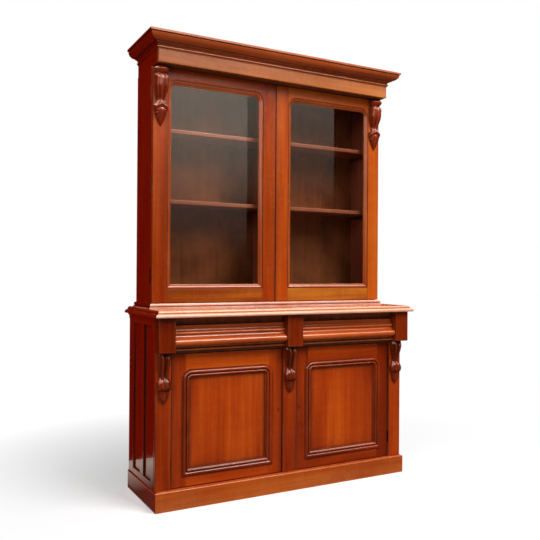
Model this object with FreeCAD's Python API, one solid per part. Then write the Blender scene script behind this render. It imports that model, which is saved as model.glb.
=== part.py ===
import FreeCAD, Part
import math
import os
from FreeCAD import Vector

# Two-part Victorian bookcase: a glazed upper case stands on a cupboard with two drawers.
# Millimetres, +Z up, the front looks towards -Y. The origin is on the floor, in the middle
# of the worktop's width and depth. "Depth" is measured forwards from the flat back.

# ---------------------------------------------------------------- driving dimensions

# heights above the floor
plinth_height = 94.0
worktop_top = 952.0
total_height = 2300.0

# worktop
worktop_width = 1518.0
worktop_depth = 510.0
worktop_side_overhang = 28.0
worktop_front_overhang = 86.0
worktop_thickness = 33.0
nosing_thickness = 18.0
nosing_step = 18.0
top_step = 25.0

# cupboard
plinth_side_overhang = 5.0
plinth_front_overhang = 22.0
plinth_board = 28.0
plinth_edge_radius = 7.0
plinth_bearer_width = 40.0
plinth_bearer_height = 22.0
carcass_board = 20.0
side_frame_board = 22.0
pilaster_width = 78.0
pilaster_thickness = 22.0
pilaster_edge_radius = 2.5
back_board = 10.0
rear_stile = 75.0
side_muntin = 53.0
front_stile = 42.0
side_top_rail = 47.0
side_bottom_rail = 31.0
side_panel_board = 9.0
side_panel_recess = 8.0
groove_depth = 8.0
lower_partition_board = 20.0
dustboard = 18.0
bed_mould_height = 28.0
bed_mould_projection = 12.0
bed_mould_fillet = 3.0

# frieze blocks over the pilasters
block_projection = 61.0
block_height = 166.0
block_overhang = 6.0
block_edge_radius = 2.5

# drawers
drawer_floor_rise = 6.0
drawer_flat_projection = 6.0
drawer_fillet_projection = 14.0
drawer_bead_projection = 28.0
drawer_nose_projection = 54.0
drawer_foot_projection = 32.0
drawer_foot_height = 6.0
drawer_foot_step = 2.0
drawer_bead_radius = 6.0
drawer_nose_radius = 16.0
drawer_nose_rise = 24.0
drawer_bead_rise = 76.0
drawer_fillet_rise = 108.0
drawer_fillet_height = 10.0
drawer_front_back = 16.0
drawer_side_board = 12.0
drawer_bottom_board = 8.0
drawer_bottom_rise = 10.0
drawer_side_height = 132.0
drawer_back_gap = 48.0
guide_height = 24.0

# cupboard doors
lower_door_thickness = 22.0
lower_door_setback = 10.0
lower_stile = 75.0
lower_top_rail = 96.0
lower_bottom_rail = 68.0
lower_panel_board = 8.0
lower_panel_recess = 8.0
bolection_width = 42.0
bolection_height = 10.0
bolection_inner_radius = 10.0
bolection_drop = 3.0

# upper case
upper_side_setback = 34.0
upper_door_face = 258.0
upper_door_thickness = 22.0
upper_base_height = 24.0
upper_partition_board = 20.0
waist_projection = 16.0
waist_bead_projection = 13.0
waist_hollow = 4.0
waist_foot_slope = 1.0
shelf_board = 20.0
shelf_front_setback = 55.0
shelf_edge_radius = 4.0
first_shelf_rise = 508.0
shelf_spacing = 362.0
lower_shelf_rise = 316.0
lower_shelf_depth = 330.0
cleat_height = 18.0
cleat_width = 12.0
back_plank_count = 12
back_plank_chamfer = 1.2

# glazed doors
upper_stile = 76.0
upper_top_rail = 54.0
upper_bottom_rail = 70.0
glazing_mould_width = 22.0
glazing_mould_drop = 4.0
glazing_lip = 3.0
sight_corner_radius = 28.0
glass_thickness = 3.0
glass_edge_cover = 6.0
glazing_bead_width = 8.0

# frieze and cornice
frieze_height = 63.0
frieze_inset = 2.0
frieze_overhang = 74.0
frieze_board = 22.0
frieze_edge_radius = 2.0
soffit_board = 12.0
dust_cover_board = 10.0
cornice_height = 77.0
cornice_projection = 60.0
cornice_fillet = 10.0
cornice_quirk = 2.0
cornice_bevel = 1.0
cornice_bead_radius = 5.0
cornice_bead_rise = 10.0
cornice_cove_low = 16.0
cornice_cove_high = 29.0
cornice_shelf = 4.0
cornice_shelf_projection = 18.0
cornice_round_projection = 54.0
cornice_round_drop = 14.0

# carved corbels
lower_corbel_height = 246.0
lower_corbel_width = 74.0
lower_corbel_projection = 40.0
upper_corbel_height = 295.0
upper_corbel_width = 66.0
upper_corbel_projection = 50.0
corbel_front_share = 0.78
corbel_flank_share = 0.25

# brass butt hinges
hinge_knuckle_radius = 3.5
hinge_pin_radius = 1.6
hinge_leaf_thickness = 2.0
hinge_leaf_width = 14.0
upper_hinge_length = 76.0
lower_hinge_length = 64.0
upper_hinge_margin = 134.0
lower_hinge_margin = 110.0
upper_hinge_stand_off = 2.0
lower_hinge_stand_off = 2.0
screw_shank_radius = 1.5
screw_head_radius = 3.2
screw_head_depth = 1.7
screw_length = 14.0
screw_end_margin = 14.0
screw_inset = 9.0

# locks and door bolts
lock_case_width = 44.0
lock_case_height = 40.0
lock_case_thickness = 12.0
lock_bolt_height = 14.0
lock_bolt_thickness = 5.0
lock_bolt_length = 34.0
lock_bolt_inset = 5.0
lock_throw = 8.0
keyhole_inset = 21.0
keyhole_radius = 2.7
keyhole_slot_width = 2.4
keyhole_slot_length = 9.5
escutcheon_rim = 1.4
escutcheon_depth = 4.0
escutcheon_proud = 0.4
upper_lock_rise = 599.0
lower_lock_rise = 329.0
door_bolt_radius = 2.5
door_bolt_length = 90.0
door_bolt_throw = 14.0
door_bolt_inset = 44.0
bolt_plate_width = 22.0
bolt_plate_length = 60.0
bolt_block_depth = 15.0
bolt_plate_thickness = 2.0
bolt_strap_width = 14.0
bolt_strap_height = 12.0
bolt_strap_margin = 4.0
bolt_knob_radius = 3.2
bolt_knob_reach = 8.0

# clearances
spare = 1.0
seat = 0.3
door_gap = 3.0
sliding = 1.0
drawer_gap = 2.0
leaf_fit = 0.2
pin_clearance = 0.08
screw_fit = 0.05
lock_fit = 0.3

# ---------------------------------------------------------------- levels worked out

back_y = worktop_depth / 2
worktop_underside = worktop_top - worktop_thickness
frieze_top = total_height - cornice_height
upper_case_top = frieze_top - frieze_height
lower_half = worktop_width / 2 - worktop_side_overhang
lower_depth = worktop_depth - worktop_front_overhang
upper_half = lower_half - upper_side_setback
frieze_half = upper_half - frieze_inset
frieze_depth = upper_door_face + frieze_overhang
pilaster_inner = lower_half - pilaster_width
block_bottom = worktop_underside - block_height
bay_inner = lower_half - side_frame_board
pilaster_back = lower_depth - pilaster_thickness
lower_door_face = lower_depth - lower_door_setback
lower_door_back = lower_door_face - lower_door_thickness
dustboard_top = block_bottom + drawer_floor_rise
dustboard_bottom = dustboard_top - dustboard
lower_door_x0 = pilaster_width / 2 + door_gap
lower_door_x1 = pilaster_inner - door_gap
lower_door_z0 = plinth_height + door_gap
lower_door_z1 = dustboard_bottom - door_gap
upper_door_back = upper_door_face - upper_door_thickness
upper_case_depth = upper_door_back - door_gap
upper_door_x0 = door_gap / 2
upper_door_x1 = upper_half
upper_floor = worktop_top + upper_base_height
upper_door_z0 = upper_floor + door_gap
upper_door_z1 = upper_case_top - door_gap
upper_inner = upper_half - carcass_board
shelf_depth = upper_door_face - shelf_front_setback
first_shelf_top = upper_floor + carcass_board + first_shelf_rise
shelf_tops = (first_shelf_top, first_shelf_top + shelf_spacing)
lower_shelf_top = plinth_height + carcass_board + lower_shelf_rise
upper_lock_height = upper_door_z0 + upper_lock_rise
lower_lock_height = lower_door_z0 + lower_lock_rise
upper_hinge_heights = (upper_door_z0 + upper_hinge_margin, (upper_door_z0 + upper_door_z1) / 2,
                       upper_door_z1 - upper_hinge_margin)
lower_hinge_heights = (lower_door_z0 + lower_hinge_margin, lower_door_z1 - lower_hinge_margin)


# ---------------------------------------------------------------- shape helpers

def box(x0, x1, d0, d1, z0, z1):
    """A board from x0 to x1, from depth d0 to d1 and from height z0 to z1."""
    return Part.makeBox(x1 - x0, d1 - d0, z1 - z0, Vector(x0, back_y - d1, z0))


def outline(steps, to_point):
    """A flat face. A step is a point, or (middle, end) for an arc from the last point."""
    first = steps[0]
    last = first
    edges = []
    for step in steps[1:]:
        if isinstance(step[0], tuple):
            middle, end = step
            edges.append(Part.Arc(to_point(*last), to_point(*middle), to_point(*end)).toShape())
            last = end
        else:
            edges.append(Part.makeLine(to_point(*last), to_point(*step)))
            last = step
    if last != first:
        edges.append(Part.makeLine(to_point(*last), to_point(*first)))
    return Part.Face(Part.Wire(edges))


def along_x(steps, x0, x1):
    """Extrude a (depth, height) outline from x0 to x1."""
    face = outline(steps, lambda d, z: Vector(x0, back_y - d, z))
    return face.extrude(Vector(x1 - x0, 0, 0))


def along_depth(steps, d0, d1):
    """Extrude an (x, height) outline from depth d0 to d1."""
    face = outline(steps, lambda x, z: Vector(x, back_y - d0, z))
    return face.extrude(Vector(0, d0 - d1, 0))


def upright(steps, z0, z1):
    """Extrude an (x, depth) outline from height z0 to z1."""
    face = outline(steps, lambda x, d: Vector(x, back_y - d, z0))
    return face.extrude(Vector(0, 0, z1 - z0))


def mirrored(shape):
    return shape.mirror(Vector(0, 0, 0), Vector(1, 0, 0))


def both_sides(shapes):
    return list(shapes) + [mirrored(shape) for shape in shapes]


def cut_all(shape, tools):
    return shape.cut(Part.makeCompound(tools)) if tools else shape


def round_edges(shape, radius, wanted):
    """Fillet the straight edges whose middle point satisfies wanted(x, depth, z, direction)."""
    edges = []
    for edge in shape.Edges:
        if len(edge.Vertexes) != 2:
            continue
        a = edge.Vertexes[0].Point
        b = edge.Vertexes[1].Point
        middle = (a + b) * 0.5
        direction = (b - a).normalize()
        if wanted(middle.x, back_y - middle.y, middle.z, direction):
            edges.append(edge)
    return shape.makeFillet(radius, edges) if edges else shape


def save(name, shapes):
    """Write the separate solids of one sub-part to its own STEP file."""
    solids = [solid for shape in shapes for solid in shape.Solids]
    result = solids[0] if len(solids) == 1 else Part.makeCompound(solids)
    result.exportStep(os.path.join("parts", name + ".step"))


def mitred_moulding(profile, half_width, depth, reach):
    """Front, left and right strips of a moulding round a case, mitred at its two corners.

    profile(edge) gives the outline of the section from the face outwards, as (place, height)
    steps, where place is edge plus the distance out from the face; reach is how far it stands out.
    """
    far = reach + spare
    front = along_x(profile(depth), -half_width - far, half_width + far)
    front_plan = [(-half_width, depth), (-half_width - far, depth + far),
                  (half_width + far, depth + far), (half_width, depth)]
    top = total_height + spare
    front = front.common(upright(front_plan, 0, top))
    side = along_depth(profile(half_width), 0, depth + far)
    side_plan = [(half_width, 0), (half_width + far, 0), (half_width + far, depth + far),
                 (half_width, depth)]
    side = side.common(upright(side_plan, 0, top))
    return [front, side, mirrored(side)]


def arched_opening(x0, x1, z0, z1, radius, d0, d1):
    """A cutter for an opening with rounded top corners, from depth d0 to d1."""
    k = radius * (1 - math.sqrt(0.5))
    steps = [(x0, z0), (x1, z0), (x1, z1 - radius), ((x1 - k, z1 - k), (x1 - radius, z1)),
             (x0 + radius, z1), ((x0 + k, z1 - k), (x0, z1 - radius)), (x0, z0)]
    return along_depth(steps, d0, d1)


def frame_moulding(section, width, x0, x1, z0, z1, radius):
    """The six lengths of a moulding inside a door frame, with rounded top and mitred low corners.

    section holds (distance outwards from the inner edge, depth) steps. x0 to z1 are the inner
    edges and radius is the inner radius of the top corners.
    """
    left = outline(section, lambda w, d: Vector(x0 - w, back_y - d, z0 - width))
    left = left.extrude(Vector(0, 0, z1 - radius - z0 + width))
    low_cut = [(x0, z0), (x0 - width, z0 - width), (x0 - width, z1), (x0, z1)]
    left = left.common(along_depth(low_cut, 0, worktop_depth))
    corner = outline(section, lambda w, d: Vector(x0 - w, back_y - d, z1 - radius))
    corner = corner.revolve(Vector(x0 + radius, 0, z1 - radius), Vector(0, 1, 0), 90)
    top = outline(section, lambda w, d: Vector(x0 + radius, back_y - d, z1 + w))
    top = top.extrude(Vector(x1 - x0 - 2 * radius, 0, 0))
    bottom = outline(section, lambda w, d: Vector(x0 - width, back_y - d, z0 - w))
    bottom = bottom.extrude(Vector(x1 - x0 + 2 * width, 0, 0))
    low_plan = [(x0, z0), (x1, z0), (x1 + width, z0 - width), (x0 - width, z0 - width)]
    bottom = bottom.common(along_depth(low_plan, 0, worktop_depth))
    middle = Vector((x0 + x1) / 2, 0, 0)
    far_side = [piece.mirror(middle, Vector(1, 0, 0)) for piece in (left, corner)]
    return [left, corner, top, bottom] + far_side


# ---------------------------------------------------------------- hinges

class Hinge:
    """A butt hinge on the right-hand door.

    The axis is upright at (axis_x, axis_depth). across points from the door to the fixed frame
    and inward points from the axis along the leaves, both as (x, depth) unit steps.
    """

    def __init__(self, axis_x, axis_depth, middle, length, across, inward):
        self.axis = Vector(axis_x, back_y - axis_depth, 0)
        self.middle = middle
        self.length = length
        self.across = Vector(across[0], -across[1], 0)
        self.inward = Vector(inward[0], -inward[1], 0)

    def plate(self, a0, a1, i0, i1, z0, z1):
        """A block from a0 to a1 across the gap and from i0 to i1 inwards from the axis."""
        corners = [(a0, i0), (a1, i0), (a1, i1), (a0, i1), (a0, i0)]
        points = [self.axis + self.across * a + self.inward * i + Vector(0, 0, z0) for a, i in corners]
        return Part.Face(Part.makePolygon(points)).extrude(Vector(0, 0, z1 - z0))

    def barrel(self, radius, z0, z1):
        return Part.makeCylinder(radius, z1 - z0, self.axis + Vector(0, 0, z0))

    def span(self):
        return self.middle - self.length / 2, self.middle + self.length / 2

    def screws(self, side, grow=0.0):
        """The countersunk screws of one leaf; side is +1 on the frame and -1 on the door."""
        result = []
        outer = self.across * side
        for step in (-1, 1):
            height = self.middle + step * (self.length / 2 - screw_end_margin)
            face = door_gap / 2
            start = self.axis + outer * face + self.inward * screw_inset + Vector(0, 0, height)
            head = Part.makeCone(screw_head_radius + grow, screw_shank_radius + grow,
                                 screw_head_depth, start, outer)
            shank = Part.makeCylinder(screw_shank_radius + grow, screw_length, start, outer)
            result.append(head.fuse(shank).removeSplitter())
        return result

    def leaf(self, side):
        """One leaf with its knuckles: two outer ones on the frame, the middle one on the door."""
        z0, z1 = self.span()
        third = self.length / 3
        inner = door_gap / 2
        outer = inner + hinge_leaf_thickness
        flat = self.plate(side * inner, side * outer, 0, hinge_leaf_width, z0, z1)
        if side > 0:
            stretches = [(z0, z0 + third), (z1 - third, z1)]
            gaps = [(z0 + third - seat / 2, z1 - third + seat / 2)]
        else:
            stretches = [(z0 + third + seat / 2, z1 - third - seat / 2)]
            gaps = [(z0 - 1, z0 + third + seat / 2), (z1 - third - seat / 2, z1 + 1)]
        clear = hinge_knuckle_radius + seat
        flat = cut_all(flat, [self.barrel(clear, a, b) for a, b in gaps])
        knuckles = [self.barrel(hinge_knuckle_radius, a, b) for a, b in stretches]
        body = flat.fuse(knuckles).removeSplitter()
        bore = self.barrel(hinge_pin_radius + pin_clearance, z0 - 1, z1 + 1)
        return cut_all(body, [bore] + self.screws(side, screw_fit))

    def pin(self):
        z0, z1 = self.span()
        return self.barrel(hinge_pin_radius, z0, z1)

    def recess(self, side):
        """What the frame (+1) or the door (-1) loses to this hinge: leaf, barrel and screws."""
        z0, z1 = self.span()
        inner = door_gap / 2
        outer = inner + hinge_leaf_thickness
        leaf = self.plate(side * (inner - seat), side * outer, -1, hinge_leaf_width + leaf_fit,
                          z0 - leaf_fit, z1 + leaf_fit)
        barrel = self.barrel(hinge_knuckle_radius + 2 * seat, z0 - seat, z1 + seat)
        return [leaf, barrel] + self.screws(side, screw_fit)


upper_axis_x = upper_half + upper_hinge_stand_off
upper_axis_depth = upper_door_back - door_gap / 2
lower_axis_x = lower_door_x1 + door_gap / 2
lower_axis_depth = lower_door_face + lower_hinge_stand_off
upper_hinges = [Hinge(upper_axis_x, upper_axis_depth, z, upper_hinge_length, (0, -1), (-1, 0))
                for z in upper_hinge_heights]
lower_hinges = [Hinge(lower_axis_x, lower_axis_depth, z, lower_hinge_length, (1, 0), (0, -1))
                for z in lower_hinge_heights]


def recesses(hinges, side):
    return [tool for hinge in hinges for tool in hinge.recess(side)]


# ---------------------------------------------------------------- locks

class Lock:
    """A mortice lock let into the meeting stile of the right-hand door; its bolt moves to -X."""

    def __init__(self, edge_x, back_depth, face_depth, height):
        self.edge_x = edge_x
        self.back_depth = back_depth
        self.face_depth = face_depth
        self.height = height
        self.bolt_depth = back_depth + lock_bolt_inset
        self.key_x = edge_x + keyhole_inset

    def keyhole(self, grow, d0, d1):
        x = self.key_x
        width = keyhole_slot_width / 2 + grow
        slot = box(x - width, x + width, d0, d1, self.height - keyhole_slot_length - grow, self.height)
        round_part = Part.makeCylinder(keyhole_radius + grow, d1 - d0,
                                       Vector(x, back_y - d1, self.height), Vector(0, 1, 0))
        return slot.fuse(round_part).removeSplitter()

    def bolt_block(self, grow, x0, x1):
        half = lock_bolt_height / 2 + grow
        return box(x0, x1, self.bolt_depth - lock_bolt_thickness / 2 - grow,
                   self.bolt_depth + lock_bolt_thickness / 2 + grow,
                   self.height - half, self.height + half)

    def bolt(self):
        return self.bolt_block(0, self.edge_x + seat, self.edge_x + seat + lock_bolt_length)

    def case(self):
        half = lock_case_height / 2
        body = box(self.edge_x, self.edge_x + lock_case_width, self.back_depth,
                   self.back_depth + lock_case_thickness, self.height - half, self.height + half)
        channel = self.bolt_block(lock_fit, self.edge_x - 1, self.edge_x + lock_bolt_length + 2 * seat)
        key_way = self.keyhole(0, self.bolt_depth, self.face_depth)
        return cut_all(body, [channel, key_way])

    def escutcheon(self):
        d0 = self.face_depth - escutcheon_depth
        d1 = self.face_depth + escutcheon_proud
        return self.keyhole(escutcheon_rim, d0, d1).cut(self.keyhole(0, d0 - 1, d1 + 1))

    def mortice(self):
        """What the door's stile loses to the case and the keyhole."""
        half = lock_case_height / 2
        body = box(self.edge_x - 1, self.edge_x + lock_case_width, self.back_depth - 1,
                   self.back_depth + lock_case_thickness, self.height - half, self.height + half)
        rim = self.keyhole(escutcheon_rim + screw_fit, self.face_depth - escutcheon_depth,
                           self.face_depth + 1)
        return [body, rim, self.keyhole(0, self.back_depth, self.face_depth)]

    def keep(self):
        """The pocket in the other door that takes the thrown bolt."""
        return self.bolt_block(2 * lock_fit, self.edge_x - lock_throw - 2 * seat, self.edge_x)


upper_lock = Lock(upper_door_x0, upper_door_back, upper_door_face, upper_lock_height)
lower_lock = Lock(lower_door_x0, lower_door_back, lower_door_face, lower_lock_height)


# ---------------------------------------------------------------- bolts of the left glazed door

bolt_x = -(upper_door_x0 + door_bolt_inset)
bolt_place = upper_door_back - bolt_block_depth / 2
bolt_low_end = upper_floor + carcass_board + 2 * seat
bolt_high_end = upper_case_top - carcass_board - 2 * seat


def door_bolt_rod(z0, z1, grow=0.0):
    return Part.makeCylinder(door_bolt_radius + grow, z1 - z0,
                             Vector(bolt_x, back_y - bolt_place, z0))


def door_bolt(up):
    """A round bolt with a small knob, level with the case board that it shoots into."""
    if up:
        z0, z1 = bolt_high_end - door_bolt_length, bolt_high_end
        knob_z = z0 + bolt_knob_radius
    else:
        z0, z1 = bolt_low_end, bolt_low_end + door_bolt_length
        knob_z = z1 - bolt_knob_radius
    start = Vector(bolt_x, back_y - bolt_place, knob_z)
    neck = Part.makeCylinder(door_bolt_radius * 0.8, bolt_knob_reach, start, Vector(0, 1, 0))
    tip = Part.makeSphere(bolt_knob_radius, start + Vector(0, bolt_knob_reach, 0))
    return door_bolt_rod(z0, z1).fuse([neck, tip]).removeSplitter()


def bolt_plate(up):
    """The brass plate of one bolt on the back of the stile, with the two straps that guide it."""
    middle = bolt_high_end - door_bolt_length * 0.4 if up else bolt_low_end + door_bolt_length * 0.4
    half = bolt_plate_length / 2
    plate = box(bolt_x - bolt_plate_width / 2, bolt_x + bolt_plate_width / 2,
                upper_door_back - bolt_plate_thickness, upper_door_back, middle - half, middle + half)
    strap_z = (middle - half + bolt_strap_margin, middle + half - bolt_strap_margin - bolt_strap_height)
    straps = [box(bolt_x - bolt_strap_width / 2, bolt_x + bolt_strap_width / 2,
                  upper_door_back - bolt_block_depth, upper_door_back, z, z + bolt_strap_height)
              for z in strap_z]
    body = plate.fuse(straps).removeSplitter()
    return body.cut(door_bolt_rod(middle - 2 * half, middle + 2 * half, lock_fit))


def bolt_sockets():
    """Holes in the case's top and bottom boards for the two shot bolts."""
    reach = door_bolt_throw + 1
    grow = 2 * lock_fit
    return [door_bolt_rod(bolt_high_end - 1, bolt_high_end + reach, grow),
            door_bolt_rod(bolt_low_end - reach, bolt_low_end + 1, grow)]


# ---------------------------------------------------------------- plinth

def plinth():
    """A mitred front and two returns with a rounded top edge, a back rail and a front bearer.

    The bearer closes the plinth behind its front board and carries the floor of the cupboard.
    """
    radius = plinth_edge_radius

    def section(edge):
        inner = edge - plinth_board
        k = radius * (1 - math.sqrt(0.5))
        return [(inner, 0), (edge, 0), (edge, plinth_height - radius),
                ((edge - k, plinth_height - k), (edge - radius, plinth_height)),
                (inner, plinth_height)]

    half = lower_half + plinth_side_overhang
    plinth_depth = lower_depth + plinth_front_overhang
    front = along_x(section(plinth_depth), -half, half)
    inner_depth = plinth_depth - plinth_board
    inner_half = half - plinth_board
    front_plan = [(-inner_half, inner_depth), (-half, plinth_depth), (half, plinth_depth),
                  (inner_half, inner_depth)]
    front = front.common(upright(front_plan, 0, plinth_height))
    side = along_depth(section(half), 0, plinth_depth)
    side_plan = [(inner_half, 0), (half, 0), (half, plinth_depth), (inner_half, inner_depth)]
    side = side.common(upright(side_plan, 0, plinth_height))
    back = box(-inner_half, inner_half, 0, carcass_board, 0, plinth_height)
    bearer = box(-inner_half, inner_half, inner_depth - plinth_bearer_width, inner_depth,
                 plinth_height - plinth_bearer_height, plinth_height)
    save("plinth_front", [front])
    save("plinth_returns", both_sides([side]) + [back, bearer])


# ---------------------------------------------------------------- cupboard

def side_frame_and_panels():
    """The right side of the cupboard: three uprights, two rails and two sunk panels."""
    z0, z1 = plinth_height, worktop_underside
    d_end = pilaster_back
    outer, inner = lower_half, bay_inner
    rail_low = z0 + side_bottom_rail
    rail_high = z1 - side_top_rail
    muntin_d0 = (rear_stile + d_end - front_stile - side_muntin) / 2
    bays = [(rear_stile, muntin_d0), (muntin_d0 + side_muntin, d_end - front_stile)]
    panel_outer = outer - side_panel_recess
    panel_inner = panel_outer - side_panel_board
    grooves = []
    panels = []
    for d0, d1 in bays:
        g = groove_depth
        grooves.append(box(panel_inner, panel_outer, d0 - g, d1 + g, rail_low - g, rail_high + g))
        p = groove_depth - seat
        panels.append(box(panel_inner, panel_outer, d0 - p, d1 + p, rail_low - p, rail_high + p))
    pieces = [box(inner, outer, 0, rear_stile, z0, z1),
              box(inner, outer, d_end - front_stile, d_end, z0, z1),
              box(inner, outer, rear_stile, d_end - front_stile, z0, rail_low),
              box(inner, outer, rear_stile, d_end - front_stile, rail_high, z1),
              box(inner, outer, muntin_d0, muntin_d0 + side_muntin, rail_low, rail_high)]
    return [cut_all(piece, grooves) for piece in pieces], panels


def corbel(half_widths, projections, top, centre_x, face):
    """A carved bracket: its side outline crossed with its front outline and a rounded plan.

    half_widths and projections are (distance below the top, size) pairs.
    """
    def through(points):
        curve = Part.BSplineCurve()
        curve.interpolate(points)
        return curve.toShape()

    side_points = [Vector(centre_x, back_y - face - p, top - drop) for drop, p in projections]
    side_edges = [through(side_points)]
    back_top = Vector(centre_x, back_y - face, top)
    back_low = Vector(centre_x, back_y - face, side_points[-1].z)
    side_edges.append(Part.makeLine(side_points[-1], back_low))
    side_edges.append(Part.makeLine(back_low, back_top))
    side_edges.append(Part.makeLine(back_top, side_points[0]))
    reach = max(w for drop, w in half_widths) * 1.1
    side = Part.Face(Part.Wire(side_edges))
    side.translate(Vector(-reach, 0, 0))
    side = side.extrude(Vector(2 * reach, 0, 0))
    right = [Vector(centre_x + w, back_y - face, top - drop) for drop, w in half_widths]
    left = [Vector(centre_x - w, back_y - face, top - drop) for drop, w in half_widths]
    edges = [through(right), Part.makeLine(right[-1], left[-1]), through(left),
             Part.makeLine(left[0], right[0])]
    front = Part.Face(Part.Wire(edges))
    deep = max(p for drop, p in projections) * 1.1
    front = front.extrude(Vector(0, -deep, 0))
    near = reach * corbel_front_share
    flank = deep * corbel_flank_share
    bend = (reach - (reach - near) * 0.3, deep - (deep - flank) * 0.3)
    plan = [(centre_x - reach, face), (centre_x - reach, face + flank),
            ((centre_x - bend[0], face + bend[1]), (centre_x - near, face + deep)),
            (centre_x + near, face + deep),
            ((centre_x + bend[0], face + bend[1]), (centre_x + reach, face + flank)),
            (centre_x + reach, face), (centre_x - reach, face)]
    return side.common(front).common(upright(plan, back_low.z - spare, top + spare))


def scaled_pairs(pairs, height, size):
    """Turn (share of height, share of size) pairs into millimetres."""
    return [(drop * height, value * size) for drop, value in pairs]


def lower_corbel(centre_x):
    widths = scaled_pairs([(0, 1), (0.14, 0.98), (0.3, 0.84), (0.46, 0.72), (0.56, 0.82),
                           (0.66, 0.9), (0.8, 0.74), (0.92, 0.4), (1, 0.06)],
                          lower_corbel_height, lower_corbel_width / 2)
    depths = scaled_pairs([(0, 0.96), (0.08, 1), (0.17, 0.92), (0.3, 0.62), (0.45, 0.45),
                           (0.55, 0.54), (0.66, 0.66), (0.8, 0.54), (0.92, 0.3), (1, 0.1)],
                          lower_corbel_height, lower_corbel_projection)
    return corbel(widths, depths, block_bottom, centre_x, lower_depth)


def upper_corbel(centre_x):
    widths = scaled_pairs([(0, 0.97), (0.07, 0.98), (0.15, 0.95), (0.25, 1), (0.36, 0.97),
                           (0.46, 0.86), (0.57, 0.74), (0.67, 0.95), (0.8, 0.84), (0.92, 0.44),
                           (1, 0.06)],
                          upper_corbel_height, upper_corbel_width / 2)
    depths = scaled_pairs([(0, 0.96), (0.05, 1), (0.12, 0.84), (0.16, 0.84), (0.26, 0.97),
                           (0.34, 0.93), (0.45, 0.64), (0.57, 0.44), (0.67, 0.62), (0.75, 0.58),
                           (0.85, 0.38), (0.94, 0.2), (1, 0.08)],
                          upper_corbel_height, upper_corbel_projection)
    return corbel(widths, depths, upper_door_z1 - sliding, centre_x, upper_door_face)


def pilasters():
    """Three flat uprights; the thrown bolts of both cupboard locks pass behind the middle one."""
    z0, z1 = plinth_height, worktop_underside
    radius = pilaster_edge_radius

    def rounded(x0, x1):
        piece = box(x0, x1, pilaster_back, lower_depth, z0, z1)
        return round_edges(piece, radius,
                           lambda x, d, z, way: abs(way.z) > 0.9 and d > lower_depth - 1)

    side = cut_all(rounded(pilaster_inner, lower_half), recesses(lower_hinges, 1))
    half = pilaster_width / 2
    save("pilasters", both_sides([side]) + [rounded(-half, half)])


def frieze_blocks():
    z0, z1 = block_bottom, worktop_underside
    front = lower_depth + block_projection

    def rounded(x0, x1):
        piece = box(x0, x1, lower_depth, front, z0, z1)
        return round_edges(piece, block_edge_radius,
                           lambda x, d, z, way: d > front - 1 and z < z1 - 1)

    side = rounded(pilaster_inner, lower_half + block_overhang)
    half = pilaster_width / 2 + block_overhang
    save("frieze_blocks", both_sides([side]) + [rounded(-half, half)])


def bed_mouldings():
    """A small cove under the worktop along each side of the cupboard."""
    top = worktop_underside
    low = top - bed_mould_height
    out = bed_mould_projection
    x = lower_half
    fillet = bed_mould_fillet
    k = 0.3
    curve_mid = (x + fillet + (out - fillet) * k, top - fillet - (bed_mould_height - 2 * fillet) * k)
    steps = [(x, top), (x + out, top), (x + out, top - fillet),
             (curve_mid, (x + fillet, low + fillet)), (x + fillet, low), (x, low)]
    strip = along_depth(steps, 0, lower_depth)
    save("worktop_bed_mouldings", both_sides([strip]))


def with_mirror(steps):
    """Close a right-hand outline with its own mirror image about x = 0."""
    ends = [step[1] if isinstance(step[0], tuple) else step for step in steps]
    result = list(steps) + [(-ends[-1][0], ends[-1][1])]
    for step, before in zip(reversed(steps[1:]), reversed(ends[:-1])):
        start = (-before[0], before[1])
        if isinstance(step[0], tuple):
            result.append(((-step[0][0], step[0][1]), start))
        else:
            result.append(start)
    return result


def worktop():
    """The board's front and side edges carry a thumb nosing under a smaller rounded step."""
    low, top = worktop_underside, worktop_top
    nose_top = low + nosing_thickness
    radius = nosing_thickness / 2
    ovolo = top_step - nosing_step
    k = math.sqrt(0.5)

    def edge(face):
        return [(face - radius, low),
                ((face - radius + radius * k, low + radius - radius * k), (face, low + radius)),
                ((face - radius + radius * k, low + radius + radius * k), (face - radius, nose_top)),
                (face - nosing_step, nose_top), (face - nosing_step, top - ovolo),
                ((face - nosing_step - ovolo * (1 - k), top - ovolo * (1 - k)),
                 (face - top_step, top))]

    half = worktop_width / 2
    from_front = along_x(edge(worktop_depth) + [(0, top), (0, low)], -half, half)
    from_sides = along_depth(with_mirror(edge(half)), 0, worktop_depth)
    save("worktop", [from_front.common(from_sides)])


def lower_carcass():
    """Bottom board, middle partition, the boards under the drawers, their guides and the back."""
    z0, z1 = plinth_height, worktop_underside
    half = lower_partition_board / 2
    inner = bay_inner
    floor = z0 + carcass_board
    save("lower_bottom_board", [box(-inner, inner, back_board, lower_door_back - seat, z0, floor)])
    save("lower_partition", [box(-half, half, back_board, pilaster_back, floor, z1)
                             .cut(box(-half, half, lower_door_back, pilaster_back, z0, floor))])
    board = box(half, inner, back_board, pilaster_back, dustboard_bottom, dustboard_top)
    lip = box(pilaster_width / 2, pilaster_inner, pilaster_back, lower_door_face,
              dustboard_bottom, dustboard_top)
    save("drawer_dustboards", both_sides([board.fuse(lip).removeSplitter()]))
    top = dustboard_top + guide_height
    x0, x1 = drawer_box_x()
    inner_guide = box(half, x0 - sliding, back_board, pilaster_back, dustboard_top, top)
    outer_guide = box(x1 + sliding, inner, back_board, pilaster_back, dustboard_top, top)
    save("drawer_guides", both_sides([inner_guide, outer_guide]))
    save("lower_back_board", [box(-inner, inner, 0, back_board, z0, z1)])
    frame, panels = side_frame_and_panels()
    save("lower_side_frames", both_sides(frame))
    save("lower_side_panels", both_sides(panels))


def lower_corbels():
    centre = lower_half - pilaster_width / 2
    save("lower_corbels", [lower_corbel(x) for x in (-centre, 0, centre)])


# ---------------------------------------------------------------- drawers

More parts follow.
